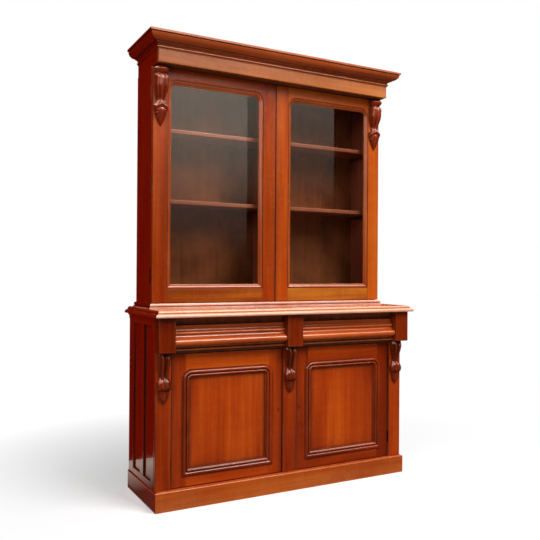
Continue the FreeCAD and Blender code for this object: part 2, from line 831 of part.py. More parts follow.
def drawer_front_x():
    return pilaster_width / 2 + block_overhang + drawer_gap, pilaster_inner - drawer_gap


def drawer_box_x():
    x0, x1 = drawer_front_x()
    return x0 + sliding, x1 - sliding


def drawer_front():
    """A front with a bold rounded nose over a hollow, and a bead and a fillet above it."""
    x0, x1 = drawer_front_x()
    z0 = dustboard_top + seat
    z1 = worktop_underside - drawer_gap
    back = lower_depth - drawer_front_back
    flat = lower_depth + drawer_flat_projection
    fillet = lower_depth + drawer_fillet_projection
    bead = lower_depth + drawer_bead_projection
    nose = lower_depth + drawer_nose_projection
    foot = lower_depth + drawer_foot_projection
    r = drawer_nose_radius
    low = z0 + drawer_nose_rise
    high = low + 2 * r
    bead_low = z0 + drawer_bead_rise
    bead_r = drawer_bead_radius
    bead_high = bead_low + 2 * bead_r
    bead_root = bead - bead_r
    fillet_low = z0 + drawer_fillet_rise
    fillet_high = fillet_low + drawer_fillet_height
    hollow = foot - r / 2
    foot_top = z0 + drawer_foot_height
    hollow_low = foot_top + drawer_foot_step
    steps = [(back, z0), (foot, z0), (foot, foot_top), (hollow, hollow_low),
             ((hollow + (nose - r - hollow) * 0.3, low - (low - hollow_low) * 0.3), (nose - r, low)),
             ((nose, low + r), (nose - r, high)),
             ((bead_root + (nose - r - bead_root) * 0.3, high + (bead_low - high) * 0.3),
              (bead_root, bead_low)),
             ((bead, bead_low + bead_r), (bead_root, bead_high)),
             ((fillet + (bead_root - fillet) * 0.3, bead_high + (fillet_low - bead_high) * 0.3),
              (fillet, fillet_low)),
             (fillet, fillet_high), (flat, fillet_high), (flat, z1), (back, z1)]
    return along_x(steps, x0, x1)


def drawer_box():
    """Two sides, a back and a bottom let in between them."""
    x0, x1 = drawer_box_x()
    t = drawer_side_board
    d1 = lower_depth - drawer_front_back
    d0 = back_board + drawer_back_gap
    z0 = dustboard_top + seat
    z1 = z0 + drawer_side_height
    rise = z0 + drawer_bottom_rise
    return [box(x0, x0 + t, d0, d1, z0, z1), box(x1 - t, x1, d0, d1, z0, z1),
            box(x0 + t, x1 - t, d0, d0 + t, z0, z1),
            box(x0 + t, x1 - t, d0 + t, d1, rise, rise + drawer_bottom_board)]


def drawers():
    front, pieces = drawer_front(), drawer_box()
    save("right_drawer_front", [front])
    save("right_drawer_box", pieces)
    save("left_drawer_front", [mirrored(front)])
    save("left_drawer_box", [mirrored(piece) for piece in pieces])


# ---------------------------------------------------------------- doors

def door_frame(x0, x1, z0, z1, back, face, stile, top_rail, bottom_rail, radius):
    """Two stiles and two rails round an opening with rounded top corners: hinge stile last."""
    sight = arched_opening(x0 + stile, x1 - stile, z0 + bottom_rail, z1 - top_rail, radius,
                           back - 1, face + 1)
    top = box(x0 + stile, x1 - stile, back, face, z1 - top_rail - radius, z1).cut(sight)
    bottom = box(x0 + stile, x1 - stile, back, face, z0, z0 + bottom_rail)
    return [top, bottom, box(x0, x0 + stile, back, face, z0, z1), box(x1 - stile, x1, back, face, z0, z1)]


def cupboard_door():
    """Frame, flat panel and a two-ribbed moulding that laps over the joint between them."""
    x0, x1, z0, z1 = lower_door_x0, lower_door_x1, lower_door_z0, lower_door_z1
    face, back = lower_door_face, lower_door_back
    half = bolection_width / 2
    radius = bolection_inner_radius + half
    panel_face = face - lower_panel_recess
    panel_back = panel_face - lower_panel_board
    sx0, sx1 = x0 + lower_stile, x1 - lower_stile
    sz0, sz1 = z0 + lower_bottom_rail, z1 - lower_top_rail
    g = groove_depth
    groove = box(sx0 - g, sx1 + g, panel_back, panel_face, sz0 - g, sz1 + g)
    p = groove_depth - seat
    panel = box(sx0 - p, sx1 + p, panel_back, panel_face, sz0 - p, sz1 + p)
    frame = door_frame(x0, x1, z0, z1, back, face, lower_stile, lower_top_rail, lower_bottom_rail,
                       radius)
    cutters = [groove] + lower_lock.mortice() + recesses(lower_hinges, -1)
    frame = [cut_all(piece, cutters) for piece in frame]
    w = bolection_width
    rise = bolection_height
    section = [(0, panel_face), (0, face - bolection_drop), (w * 0.1, face - bolection_drop * 0.8),
               ((w * 0.16, face + rise * 0.2), (w * 0.2, face + rise * 0.35)),
               ((w * 0.29, face + rise * 0.72), (w * 0.38, face + rise * 0.35)),
               (w * 0.42, face + rise * 0.05), (w * 0.5, face + rise * 0.3),
               ((w * 0.68, face + rise), (w * 0.85, face + rise * 0.5)),
               (w * 0.9, face + rise * 0.25), (w, face + rise * 0.2), (w, face), (half, face),
               (half, panel_face)]
    moulding = frame_moulding(section, w, sx0 + half, sx1 - half, sz0 + half, sz1 - half,
                              bolection_inner_radius)
    return frame, panel, moulding


def glazed_door():
    """Frame, a rebated moulding with a rounded edge, the pane and the beads that hold it."""
    x0, x1, z0, z1 = upper_door_x0, upper_door_x1, upper_door_z0, upper_door_z1
    face, back = upper_door_face, upper_door_back
    w = glazing_mould_width
    drop = glazing_mould_drop
    radius = sight_corner_radius
    frame = door_frame(x0, x1, z0, z1, back, face, upper_stile, upper_top_rail, upper_bottom_rail,
                       radius + w)
    sx0, sx1 = x0 + upper_stile + w, x1 - upper_stile - w
    sz0, sz1 = z0 + upper_bottom_rail + w, z1 - upper_top_rail - w
    lip = face - 2.75 * drop
    section = [(0, back), (0, lip), (w * 0.14, lip),
               ((w * 0.4, face - drop * 1.1), (w * 0.77, face - drop * 0.5)),
               (w * 0.77, face - drop), (w, face - drop), (w, back)]
    lengths = frame_moulding(section, w, sx0, sx1, sz0, sz1, radius)
    glass_front = lip - glazing_lip + seat
    glass_back = glass_front - glass_thickness
    cover = glass_edge_cover
    room = cover + seat
    rebate = box(sx0 - room, sx1 + room, back - 1, glass_front + seat, sz0 - room, sz1 + room)
    moulding = [piece.cut(rebate) for piece in lengths]
    glass = box(sx0 - cover, sx1 + cover, glass_back, glass_front, sz0 - cover, sz1 + cover)
    b = glazing_bead_width
    bead_face = glass_back - seat
    ox0, ox1, oz0, oz1 = sx0 - cover, sx1 + cover, sz0 - cover, sz1 + cover
    beads = [box(ox0, ox0 + b, back, bead_face, oz0, oz1), box(ox1 - b, ox1, back, bead_face, oz0, oz1),
             box(ox0 + b, ox1 - b, back, bead_face, oz0, oz0 + b),
             box(ox0 + b, ox1 - b, back, bead_face, oz1 - b, oz1)]
    return frame, moulding + beads, glass


def doors():
    frame, panel, moulding = cupboard_door()
    for side, turn in (("right", lambda shape: shape), ("left", mirrored)):
        save("lower_%s_door_frame" % side, [turn(piece) for piece in frame])
        save("lower_%s_door_panel" % side, [turn(panel)])
        save("lower_%s_door_moulding" % side, [turn(piece) for piece in moulding])
    frame, moulding, glass = glazed_door()
    right = [cut_all(piece, upper_lock.mortice() + recesses(upper_hinges, -1)) for piece in frame]
    left = [mirrored(cut_all(piece, recesses(upper_hinges, -1))) for piece in frame]
    left = [cut_all(piece, [upper_lock.keep()]) for piece in left]
    save("upper_right_door_frame", right)
    save("upper_left_door_frame", left)
    for side, turn in (("right", lambda shape: shape), ("left", mirrored)):
        save("upper_%s_door_moulding" % side, [turn(piece) for piece in moulding])
        save("upper_%s_door_glass" % side, [turn(glass)])
        centre = upper_half - upper_stile / 2
        save("upper_%s_corbel" % side, [turn(upper_corbel(centre))])


# ---------------------------------------------------------------- upper case

def upper_case():
    z0, z1 = worktop_top, upper_case_top
    inner, outer, depth = upper_inner, upper_half, upper_case_depth
    side = cut_all(box(inner, outer, 0, depth, z0, z1), recesses(upper_hinges, 1))
    save("upper_sides", both_sides([side]))
    save("upper_base_rail", [box(-outer, outer, depth, upper_door_face, z0, upper_floor)])
    floor = upper_floor + carcass_board
    roof = z1 - carcass_board
    sockets = bolt_sockets()
    save("upper_bottom_board",
         [cut_all(box(-inner, inner, back_board, depth, upper_floor, floor), sockets)])
    save("upper_top_board", [cut_all(box(-inner, inner, back_board, depth, roof, z1), sockets)])
    half = upper_partition_board / 2
    save("upper_partition", [box(-half, half, back_board, depth, floor, roof)])
    planks = []
    pitch = 2 * inner / back_plank_count
    c = back_plank_chamfer
    for n in range(back_plank_count):
        x0 = -inner + n * pitch + seat / 2
        x1 = x0 + pitch - seat
        plan = [(x0, 0), (x1, 0), (x1, back_board - c), (x1 - c, back_board), (x0 + c, back_board),
                (x0, back_board - c)]
        planks.append(upright(plan, z0, z1))
    save("upper_back_planks", planks)


def shelves():
    """Shelves with a rounded front edge on cleats: two a bay above, one a bay below."""
    radius = shelf_edge_radius
    d0 = back_board + seat

    def shelf(x0, x1, depth, top):
        board = box(x0 + seat, x1 - seat, d0, depth, top - shelf_board, top)
        return round_edges(board, radius, lambda x, d, z, way: d > depth - 1 and abs(way.x) > 0.9)

    def cleats(x0, x1, depth, top):
        z1 = top - shelf_board
        z0 = z1 - cleat_height
        d1 = depth - cleat_width
        return [box(x0, x0 + cleat_width, d0, d1, z0, z1), box(x1 - cleat_width, x1, d0, d1, z0, z1)]

    upper_x = upper_partition_board / 2
    lower_x = lower_partition_board / 2
    boards = [shelf(upper_x, upper_inner, shelf_depth, top) for top in shelf_tops]
    save("upper_shelves", both_sides(boards))
    save("lower_shelves", both_sides([shelf(lower_x, bay_inner, lower_shelf_depth, lower_shelf_top)]))
    strips = []
    for top in shelf_tops:
        strips += cleats(upper_x, upper_inner, shelf_depth, top)
    strips += cleats(lower_x, bay_inner, lower_shelf_depth, lower_shelf_top)
    save("shelf_cleats", both_sides(strips))


def waist_moulding():
    """A small moulding that covers the joint between the upper case and the worktop."""
    z0, z1 = worktop_top, upper_floor
    out, bead = waist_projection, waist_bead_projection
    height = z1 - z0
    k = 1 - math.sqrt(0.5)

    def profile(edge):
        foot = z0 + height * 0.25
        bead_low = z0 + height * 0.45
        bead_top = z0 + height * 0.58
        r = z1 - bead_top
        hollow = edge + bead - waist_hollow
        return [(edge, z0), (edge + out, z0), (edge + out, foot), (hollow, foot + waist_foot_slope),
                (hollow, bead_low), (edge + bead, bead_low), (edge + bead, bead_top),
                ((edge + bead - r * k, z1 - r * k), (edge + bead - r, z1)), (edge, z1)]

    save("waist_moulding", mitred_moulding(profile, upper_half, upper_door_face, out))


def frieze_and_cornice():
    """A frieze box that oversails the doors, with a mitred cornice round its head."""
    z0 = upper_case_top
    z1 = total_height - cornice_fillet
    half, depth, board = frieze_half, frieze_depth, frieze_board
    front = box(-half, half, depth - board, depth, z0, z1)
    front = round_edges(front, frieze_edge_radius, lambda x, d, z, way: d > depth - 1 and z < z0 + 1)
    side = box(half - board, half, 0, depth - board, z0, z1)
    inner = half - board
    back = box(-inner, inner, 0, board, z0, z1)
    save("frieze_boards", both_sides([side]) + [front, back])
    soffit = box(-inner, inner, board, depth - board, z0, z0 + soffit_board)
    cover = box(-inner, inner, board, depth - board, z1 - dust_cover_board, z1)
    save("frieze_soffit_and_cover", [soffit, cover])
    low = frieze_top
    out = cornice_projection
    top = total_height
    k = math.sqrt(0.5)

    def profile(edge):
        quirk = edge + cornice_quirk
        root = quirk + cornice_bevel
        bead_r = cornice_bead_radius
        bead_z = low + cornice_bead_rise
        cove_low = low + cornice_cove_low
        cove_high = low + cornice_cove_high
        cove = cove_high - cove_low
        shelf_high = cove_high + cornice_shelf
        start = edge + cornice_shelf_projection
        end = edge + cornice_round_projection
        round_high = top - cornice_round_drop
        rise = round_high - shelf_high
        fillet_low = top - cornice_fillet
        return [(edge, low), (quirk, low), (root, bead_z - bead_r),
                ((root + bead_r, bead_z), (root, bead_z + bead_r)), (root, cove_low),
                ((root + cove * (1 - k), cove_low + cove * k), (root + cove, cove_high)),
                (start, cove_high), (start, shelf_high),
                ((start + (end - start) * k, shelf_high + rise * (1 - k)), (end, round_high)),
                (end - cornice_quirk, round_high + cornice_bevel),
                (end - cornice_quirk, fillet_low - cornice_bevel),
                (edge + out, fillet_low), (edge + out, top), (edge, top)]

    save("cornice_moulding", mitred_moulding(profile, half, depth, out))


# ---------------------------------------------------------------- brass fittings

def fittings():
    fixed = [piece for hinge in upper_hinges + lower_hinges
             for piece in [hinge.leaf(1)] + hinge.screws(1)]
    save("hinge_fixed_leaves", both_sides(fixed))
    save("hinge_pins", both_sides([hinge.pin() for hinge in upper_hinges + lower_hinges]))
    for level, hinges in (("upper", upper_hinges), ("lower", lower_hinges)):
        moving = [piece for hinge in hinges for piece in [hinge.leaf(-1)] + hinge.screws(-1)]
        save(level + "_right_door_hinge_leaves", moving)
        save(level + "_left_door_hinge_leaves", [mirrored(piece) for piece in moving])
    for name, lock, turn in (("upper_right", upper_lock, lambda shape: shape),
                             ("lower_right", lower_lock, lambda shape: shape),
                             ("lower_left", lower_lock, mirrored)):
        save(name + "_lock", [turn(lock.case()), turn(lock.escutcheon())])
        save(name + "_lock_bolt", [turn(lock.bolt())])
    save("upper_left_door_bolt_plates", [bolt_plate(True), bolt_plate(False)])
    save("upper_left_door_top_bolt", [door_bolt(True)])
    save("upper_left_door_bottom_bolt", [door_bolt(False)])


os.makedirs("parts", exist_ok=True)
plinth()
lower_carcass()
pilasters()
frieze_blocks()
lower_corbels()
bed_mouldings()
worktop()
drawers()
doors()
upper_case()
shelves()
waist_moulding()
frieze_and_cornice()
fittings()
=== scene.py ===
# %% [markdown]
# # A mahogany bookcase with glass doors
#
# The bookcase comes apart into a cupboard with two drawers below and a glazed case above. The
# joiner's frame, with every hinge, lock and board at its real size, is loaded first. Each visible
# piece of polished wood is then drawn again as a fine surface: boards with softened arrises,
# mouldings run along their mitred paths, and corbels with their carving.

# %% Load the frame
import math

import bpy
import numpy as np
from mathutils import Matrix, Vector


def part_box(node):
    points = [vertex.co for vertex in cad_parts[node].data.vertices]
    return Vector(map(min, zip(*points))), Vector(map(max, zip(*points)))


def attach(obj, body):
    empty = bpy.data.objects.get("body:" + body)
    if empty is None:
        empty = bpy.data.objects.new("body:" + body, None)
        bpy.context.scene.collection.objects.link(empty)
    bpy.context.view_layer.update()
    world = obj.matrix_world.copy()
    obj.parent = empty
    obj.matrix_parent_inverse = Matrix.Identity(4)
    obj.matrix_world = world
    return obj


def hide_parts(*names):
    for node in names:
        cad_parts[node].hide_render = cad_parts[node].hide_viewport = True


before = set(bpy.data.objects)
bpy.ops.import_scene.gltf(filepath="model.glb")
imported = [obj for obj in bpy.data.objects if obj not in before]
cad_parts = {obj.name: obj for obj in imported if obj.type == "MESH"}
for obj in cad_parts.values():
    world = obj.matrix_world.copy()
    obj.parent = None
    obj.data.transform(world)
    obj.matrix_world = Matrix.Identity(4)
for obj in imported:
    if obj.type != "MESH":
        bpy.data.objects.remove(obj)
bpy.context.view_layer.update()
rng = np.random.default_rng(7)
MM = 0.001

# %% [markdown]
# ## Where things are
#
# A cabinet maker measures depth forwards from the flat back, so every surface here is drawn in
# (x, depth, z) and turned into the frame's metres at the end. `Room` reads a piece's space from
# the frame, and the sizes that can't be read from a box are named once. A left piece is a right
# one mirrored, so its side is -1.

# %% Depth from the back, and the room of a piece
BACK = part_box("lower_back_board")[1][1]


class Room:
    """The space of one piece of the frame: x0 to x1, depth d0 to d1 and height z0 to z1."""

    def __init__(self, node):
        low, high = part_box(node)
        self.x0, self.x1 = low[0], high[0]
        self.d0, self.d1 = BACK - high[1], BACK - low[1]
        self.z0, self.z1 = low[2], high[2]

    def spans(self, x0=None, x1=None):
        """The six limits, with other ends in x if they are given."""
        return (self.x0 if x0 is None else x0, self.x1 if x1 is None else x1,
                self.d0, self.d1, self.z0, self.z1)

    def middle_height(self):
        return (self.z0 + self.z1) / 2


plinth = Room("plinth_front")
uprights = Room("pilasters")
blocks = Room("frieze_blocks")
slab = Room("worktop")
drawer = Room("right_drawer_front")
low_door = Room("lower_right_door_frame")
low_panel = Room("lower_right_door_panel")
tall_door = Room("upper_right_door_frame")
tall_moulding = Room("upper_right_door_moulding")
pane = Room("upper_right_door_glass")
case_side = Room("upper_sides")
base_rail = Room("upper_base_rail")
frieze = Room("frieze_boards")
cornice = Room("cornice_moulding")
SIDES = (("left", -1), ("right", 1))
print("worktop", round(slab.x1 * 2, 4), "m wide at", round(slab.z1, 4), "m")

# %% Joiner's sizes
arris = 1.0 * MM
smallest_arris = 0.15 * MM
hair = 0.25 * MM
hairline = 0.05 * MM
touching = 1e-7
fade = 5 * MM
pilaster_width = 78 * MM
carcass_board = 20 * MM
tall_stile = 76 * MM
bolection_width, bolection_height, bolection_radius = 42 * MM, 10 * MM, 10 * MM
glazing_width, glazing_radius, glazing_drop = 22 * MM, 28 * MM, 4 * MM
rear_stile, muntin, front_stile = 75 * MM, 53 * MM, 42 * MM
side_top_rail, side_bottom_rail, side_recess = 47 * MM, 31 * MM, 8 * MM


def sight(door, stile, bottom_rail, top_rail):
    """The window inside a door's frame: x0, x1, z0, z1."""
    return door.x0 + stile, door.x1 - stile, door.z0 + bottom_rail, door.z1 - top_rail


low_sight = sight(low_door, 75 * MM, 68 * MM, 96 * MM)
tall_sight = sight(tall_door, tall_stile, 70 * MM, 54 * MM)
print("arris", arris, "m; gap left round brass fittings", hair, "m")

# %% [markdown]
# ## Closed surfaces from rings
#
# Nearly every piece of joinery is a section carried along a path. A `Piece` collects such lofts:
# each one is a stack of rings with the same number of points, skinned with quads and closed at
# both ends. The sign of its volume tells whether its faces point outwards, so a mirrored
# piece is turned the right way as well. Four values travel with each point: where it lies in
# its board's grain, how much a hand has rubbed it, how much dirt and painted shade lie there,
# and the tone of its board.

# %% The Piece class
class Piece:
    """Closed lofts that become one mesh object."""

    def __init__(self, name):
        self.name = name
        self.points, self.grain, self.marks, self.corners, self.sizes = [], [], [], [], []
        self.count = 0

    def loft(self, rings, along, wear=0.0, grime_and_shade=0.0, tone=None, side=1):
        """Skin rings (number, points, xdz); along is the axis of the grain: 0 x, 1 depth, 2 z."""
        number, size = rings.shape[:2]
        rings = rings * np.array([side, 1, 1])
        index = np.arange(number * size).reshape(number, size)
        after = np.roll(index, -1, axis=1)
        quads = np.stack([index[:-1], after[:-1], after[1:], index[1:]], -1).reshape(-1, 4)
        flat = rings.reshape(-1, 3) * np.array([1, -1, 1]) + np.array([0, BACK, 0])
        a, b, c, d = (flat[quads[:, k]] for k in range(4))
        volume = np.sum(a * (np.cross(b, c) + np.cross(c, d)))
        for cap in (index[0][::-1], index[-1]):
            fan = flat[cap]
            volume += np.sum(fan[0] * np.cross(fan[1:-1], fan[2:]))
        way = 1 if volume > 0 else -1
        faces = (quads[:, ::way].reshape(-1), index[0][::-1][::way], index[-1][::way])
        self.corners += [self.count + corners for corners in faces]
        self.sizes += [4] * len(quads) + [size] * 2
        self.points.append(flat)
        offset = rng.uniform(0, 40, 3)
        self.grain.append(np.roll(flat, -along, axis=1) + offset)
        shade = rng.normal(0, 0.06) if tone is None else tone + rng.normal(0, 0.03)
        full = np.ones((number, size))
        self.marks.append(np.stack([(full * mark).reshape(-1) for mark in (wear, grime_and_shade, shade)]))
        self.count += number * size

    def mesh(self):
        """Write the points, faces and marks into a new mesh with foreach_set."""
        mesh = bpy.data.meshes.new(self.name)
        points = np.concatenate(self.points)
        corners, sizes = np.concatenate(self.corners), np.array(self.sizes)
        mesh.vertices.add(len(points))
        mesh.vertices.foreach_set("co", points.reshape(-1))
        mesh.loops.add(len(corners))
        mesh.loops.foreach_set("vertex_index", corners)
        mesh.polygons.add(len(sizes))
        mesh.polygons.foreach_set("loop_start", np.concatenate([[0], np.cumsum(sizes)[:-1]]))
        mesh.polygons.foreach_set("loop_total", sizes)
        mesh.update(calc_edges=True)
        grain = mesh.attributes.new("grain", "FLOAT_VECTOR", "POINT")
        grain.data.foreach_set("vector", np.concatenate(self.grain).reshape(-1))
        for word, values in zip(("wear", "grime_and_shade", "tone"), np.concatenate(self.marks, 1)):
            layer = mesh.attributes.new(word, "FLOAT", "POINT")
            layer.data.foreach_set("value", values)
        mesh.shade_smooth()
        mesh.set_sharp_from_angle(angle=math.radians(40))
        return mesh

    def place(self, material, *nodes, body="case", slot="mahogany"):
        """Make the object; it rides on a body and stands for the nodes."""
        mesh = self.mesh()
        mesh.materials.append(material)
        thing = bpy.data.objects.new(self.name, mesh)
        bpy.context.scene.collection.objects.link(thing)
        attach(thing, body)
        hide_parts(*nodes)
        print("%-34s %6d faces on %s" % (self.name, len(mesh.polygons), body))


print("ready to collect lofts")

# %% [markdown]
# ## Boards with softened arrises
#
# A planed board never has a knife edge: the maker takes it off with a pass of fine paper. The
# section of a board here is a rectangle whose corners are small quarter circles, and its ends are
# closed by the same quarter circle. Points a few millimetres inside each edge hold the flat faces
# flat, and let the rubbed look fade out.

# %% A rounded section
quarter_turn = np.radians([0.0, 45.0, 90.0])
arris_wear = np.array([0.6, 1.0, 0.6])
most_share = 0.3


def rounded_rectangle(a0, a1, b0, b1, radius, inset=0.0, cuts=(0.5,)):
    """Points round a rectangle, and how worn each is.

    A corner is centre + radius * (cos, sin) over a quarter turn. A side holds points at fade
    from both its ends and at the shares in cuts.
    """
    a0, a1, b0, b1 = a0 + inset, a1 - inset, b0 + inset, b1 - inset
    r = max(radius - inset, smallest_arris)
    centres = ((a1 - r, b0 + r), (a1 - r, b1 - r), (a0 + r, b1 - r), (a0 + r, b0 + r))
    lengths = (b1 - b0 - 2 * r, a1 - a0 - 2 * r)
    points, worn = [], []
    for k, centre in enumerate(centres):
        angle, length = quarter_turn + math.radians(90 * k - 90), lengths[k % 2]
        arc = np.array(centre) + r * np.stack([np.cos(angle), np.sin(angle)], -1)
        share = min(fade / length, most_share)
        steps = np.concatenate([[share], share + (1 - 2 * share) * np.asarray(cuts), [1 - share]])
        forward = np.array([-math.sin(angle[-1]), math.cos(angle[-1])])
        points += [arc, arc[-1] + forward * (steps[:, None] * length)]
        worn += [arris_wear, np.zeros(len(steps))]
    return np.concatenate(points), np.concatenate(worn)


print("points round a plain board:", len(rounded_rectangle(0, 0.1, 0, carcass_board, arris)[0]))

# %% A pocket for a lock
def cut_pocket(rings, worn, pocket):
    """Sink a corner of an upright board between two heights, as for a lock let into its back.

    Each ring gets two points where the pocket starts on its edge and two where it ends on its
    back. In the rings inside the pocket, the points between them are spread evenly over the
    pocket's two inner walls.
    """
    x_to, d_to, z_from, z_to = pocket
    whole = rings[len(rings) // 2]
    x_low, d_low = whole[:, 0].min(), whole[:, 1].min()
    on_edge, on_back = whole[:, 0] < x_low + touching, whole[:, 1] < d_low + touching
    after = np.roll(whole, -1, axis=0)
    first = np.flatnonzero(on_edge & (whole[:, 1] > d_to) & (after[:, 1] < d_to))[0]
    last = np.flatnonzero(on_back & (whole[:, 0] < x_to) & (after[:, 0] > x_to))[0]
    table = np.concatenate([rings, worn[..., None]], -1)

    def between(column, axis, places):
        a, b = table[:, column], table[:, column + 1]
        start, end = whole[column, axis], whole[column + 1, axis]
        return np.stack([a + (b - a) * (place - start) / (end - start) for place in places], 1)

    table = np.concatenate([table[:, :first + 1], between(first, 1, (d_to + hairline, d_to)),
                            table[:, first + 1:last + 1], between(last, 0, (x_to, x_to + hairline)),
                            table[:, last + 1:]], 1)
    inner = np.arange(first + 2, last + 4)
    share = np.linspace(0, 2, len(inner))
    height = table[:, 0, 2]
    deep = np.flatnonzero((height > z_from - touching) & (height < z_to + touching))[:, None]
    table[deep, inner, 0] = x_low + (x_to - x_low) * np.minimum(share, 1)
    table[deep, inner, 1] = d_to + (d_low - d_to) * np.maximum(share - 1, 0)
    table[deep, inner, 3] = 0
    return table[..., :3], table[..., 3]


print("the walls of a pocket start within", hairline, "m of its edges")

# %% A board
def board(piece, x0, x1, d0, d1, z0, z1, along, edge=arris, grime_and_shade=None, cuts=(0.5,), stops=(0.5,),
          tone=None, side=1, soil_and_shade=0.0, pocket=None):
    """Loft rounded rectangles along one axis; near an end the inset follows 1 - sine of the turn.

    The soil share is how much of the arrises' wear is dirt and painted shade instead, darkening
    the gaps between parts. A pocket is (x to, depth to, z from, z to).
    """
    if pocket is not None:
        z_from, z_to = pocket[2:]
        stops = [(z - z0) / (z1 - z0) for z in (z_from - hairline, z_from, z_to, z_to + hairline)]
    low, high = np.array([x0, d0, z0]), np.array([x1, d1, z1])
    others = [k for k in range(3) if k != along]
    (a0, b0), (a1, b1) = low[others], high[others]
    length = high[along] - low[along]
    deep = min(edge + fade, most_share * min(a1 - a0, b1 - b0))
    near = [(edge * (1 - math.cos(t)), edge * (1 - math.sin(t)), w)
            for t, w in zip(quarter_turn, arris_wear)]
    near = [(0.0, deep, 0.0)] + near + [(edge + min(fade, most_share * length), 0.0, 0.0)]
    middle = [(length * share, 0.0, 0.0) for share in stops]
    far = [(length - place, inset, w) for place, inset, w in reversed(near)]
    rings, worn = [], []
    for place, inset, w in near + middle + far:
        flat, wear = rounded_rectangle(a0, a1, b0, b1, edge, inset, cuts)
        ring = np.empty((len(flat), 3))
        ring[:, others] = flat
        ring[:, along] = low[along] + place
        rings.append(ring)
        worn.append(np.maximum(wear if inset < edge else wear * 0, w))
    rings, worn = np.array(rings), np.array(worn)
    if pocket is not None:
        rings, worn = cut_pocket(rings, worn, pocket)
    places = np.moveaxis(rings, -1, 0)
    # Dirt along the arrises here also paints the shade in the gaps between parts.
    dirt_and_shade = soil_and_shade * worn
    if grime_and_shade is not None:
        dirt_and_shade = np.maximum(dirt_and_shade, grime_and_shade(*places))
    piece.loft(rings, along, (1 - soil_and_shade) * worn, dirt_and_shade, tone(*places) if callable(tone) else tone, side)


print("boards run along", ("x", "depth", "z"))

# %% [markdown]
# ## Sections of mouldings
#
# A moulding is drawn as its cutter would be: straight stretches and arcs through three points.
# Where the outline turns outwards it is rubbed, and where it turns inwards it holds dirt and
# painted shade. Both are read from the outline itself, as the turning added up over a few millimetres.

# %% Outlines
def arc_through(start, middle, end, count):
    """Points on the circle through three points, evenly turned from start to end."""
    (ax, ay), (bx, by), (cx, cy) = start, middle, end
    d = 2 * (ax * (by - cy) + bx * (cy - ay) + cx * (ay - by))
    a, b, c = ax * ax + ay * ay, bx * bx + by * by, cx * cx + cy * cy
    centre = np.array([(a * (by - cy) + b * (cy - ay) + c * (ay - by)) / d,
                       (a * (cx - bx) + b * (ax - cx) + c * (bx - ax)) / d])
    rays = np.array([start, middle, end]) - centre
    angle = np.unwrap(np.arctan2(rays[:, 1], rays[:, 0]))
    turn = np.linspace(angle[0], angle[2], count)
    return centre + np.hypot(*rays[0]) * np.stack([np.cos(turn), np.sin(turn)], -1)


near_centre, far_centre = math.sqrt(0.5), 1 - math.sqrt(0.5)
cove, undercut = 0.3, 0.7


def outline(steps, count=9, guard=1.2 * MM):
    """Points of a closed outline. A step is a point, or (middle, end) of an arc from the last one.

    A step (x, y, deep) is an arc to (x, y) as well: its middle lies deep of the way from the
    corner (x, last y) to the corner (last x, y). Of a square step, near_centre and far_centre
    make a quarter circle round the one or the other. Straight stretches get a point at guard
    from each end, which keeps them flat when shaded.
    """
    points = [np.array(steps[0])]
    for step in list(steps[1:]) + [steps[0]]:
        last = points[-1]
        if len(step) == 3:
            x, y, deep = step
            step = (x + (last[0] - x) * deep, last[1] + (y - last[1]) * deep), (x, y)
        if np.ndim(step) == 2:
            points += list(arc_through(last, step[0], step[1], count)[1:])
            continue
        end = np.array(step)
        length = np.hypot(*(end - last))
        if length > 3 * guard:
            share = guard / length
            points += [last + (end - last) * share, last + (end - last) * (1 - share)]
        if length > touching:
            points.append(end)
    if np.hypot(*(points[-1] - points[0])) < touching:
        points.pop()
    return np.array(points)


def outline_marks(points, reach=2.0 * MM):
    """Wear, and dirt with painted shade, of an outline: its turning, summed within reach, over 70
    degrees.
    """
    after, before = np.roll(points, -1, 0) - points, points - np.roll(points, 1, 0)
    turn = np.arctan2(before[:, 0] * after[:, 1] - before[:, 1] * after[:, 0],
                      np.sum(before * after, 1))
    place = np.cumsum(np.hypot(*before.T))
    apart = np.abs(place[:, None] - place)
    near = np.minimum(apart, place[-1] - apart) < reach
    bend = near @ turn * np.sign(turn.sum()) / math.radians(70)
    return np.clip(bend, 0, 1), np.clip(-bend, 0, 1)


def sweep(piece, points, stations, along, tone=None, side=1, dirt_and_shade=0.0):
    """Carry an outline (u, v) along stations: each ring is origin + u * across + v * up."""
    origin, across, up = (np.array([station[k] for station in stations], float) for k in range(3))
    rings = origin[:, None] + points[:, :1] * across[:, None] + points[:, 1:] * up[:, None]
    wear, grime_and_shade = outline_marks(points)
    piece.loft(rings, along, wear, np.clip(grime_and_shade + dirt_and_shade, 0, 1), tone, side)


def ramp(s, start, end):
    """0 before start, 1 after end, and 3t^2 - 2t^3 between."""
    t = np.clip((s - start) / (end - start), 0, 1)
    return t * t * (3 - 2 * t)


def bump_at(s, middle, reach):
    """A bell: exp of minus the squared distance over reach."""
    return np.exp(-((s - middle) / reach) ** 2)


print("a half circle, checked:", arc_through((1, 0), (0, 1), (-1, 0), 3).round(3).tolist())

# %% [markdown]
# ## The paths of mouldings
#
# Round a case a moulding has a front and two returns, mitred where they meet: there the outward
# step is diagonal. Inside a door it has two uprights, a top and a bottom, and two quarter circles
# at the top corners. Each length is a closed piece of its own, as it is on the bench.

# %% Mitred lengths
Z_UP, OUTWARDS, FORWARD = (0, 0, 1), (1, 0, 0), (0, 1, 0)
LEFT_MITRE, RIGHT_MITRE = (-1, 1, 0), (1, 1, 0)


def round_a_case(front, returns, steps, half, depth, tone=None):
    """A front and two returns; steps give (distance out from the face, height)."""
    points = outline(steps)
    corner = ((half, depth, 0), RIGHT_MITRE, Z_UP)
    sweep(front, points, [((-half, depth, 0), LEFT_MITRE, Z_UP), corner], 0, tone)
    for _, side in SIDES:
        sweep(returns, points, [((half, 0, 0), OUTWARDS, Z_UP), corner], 1, tone, side)


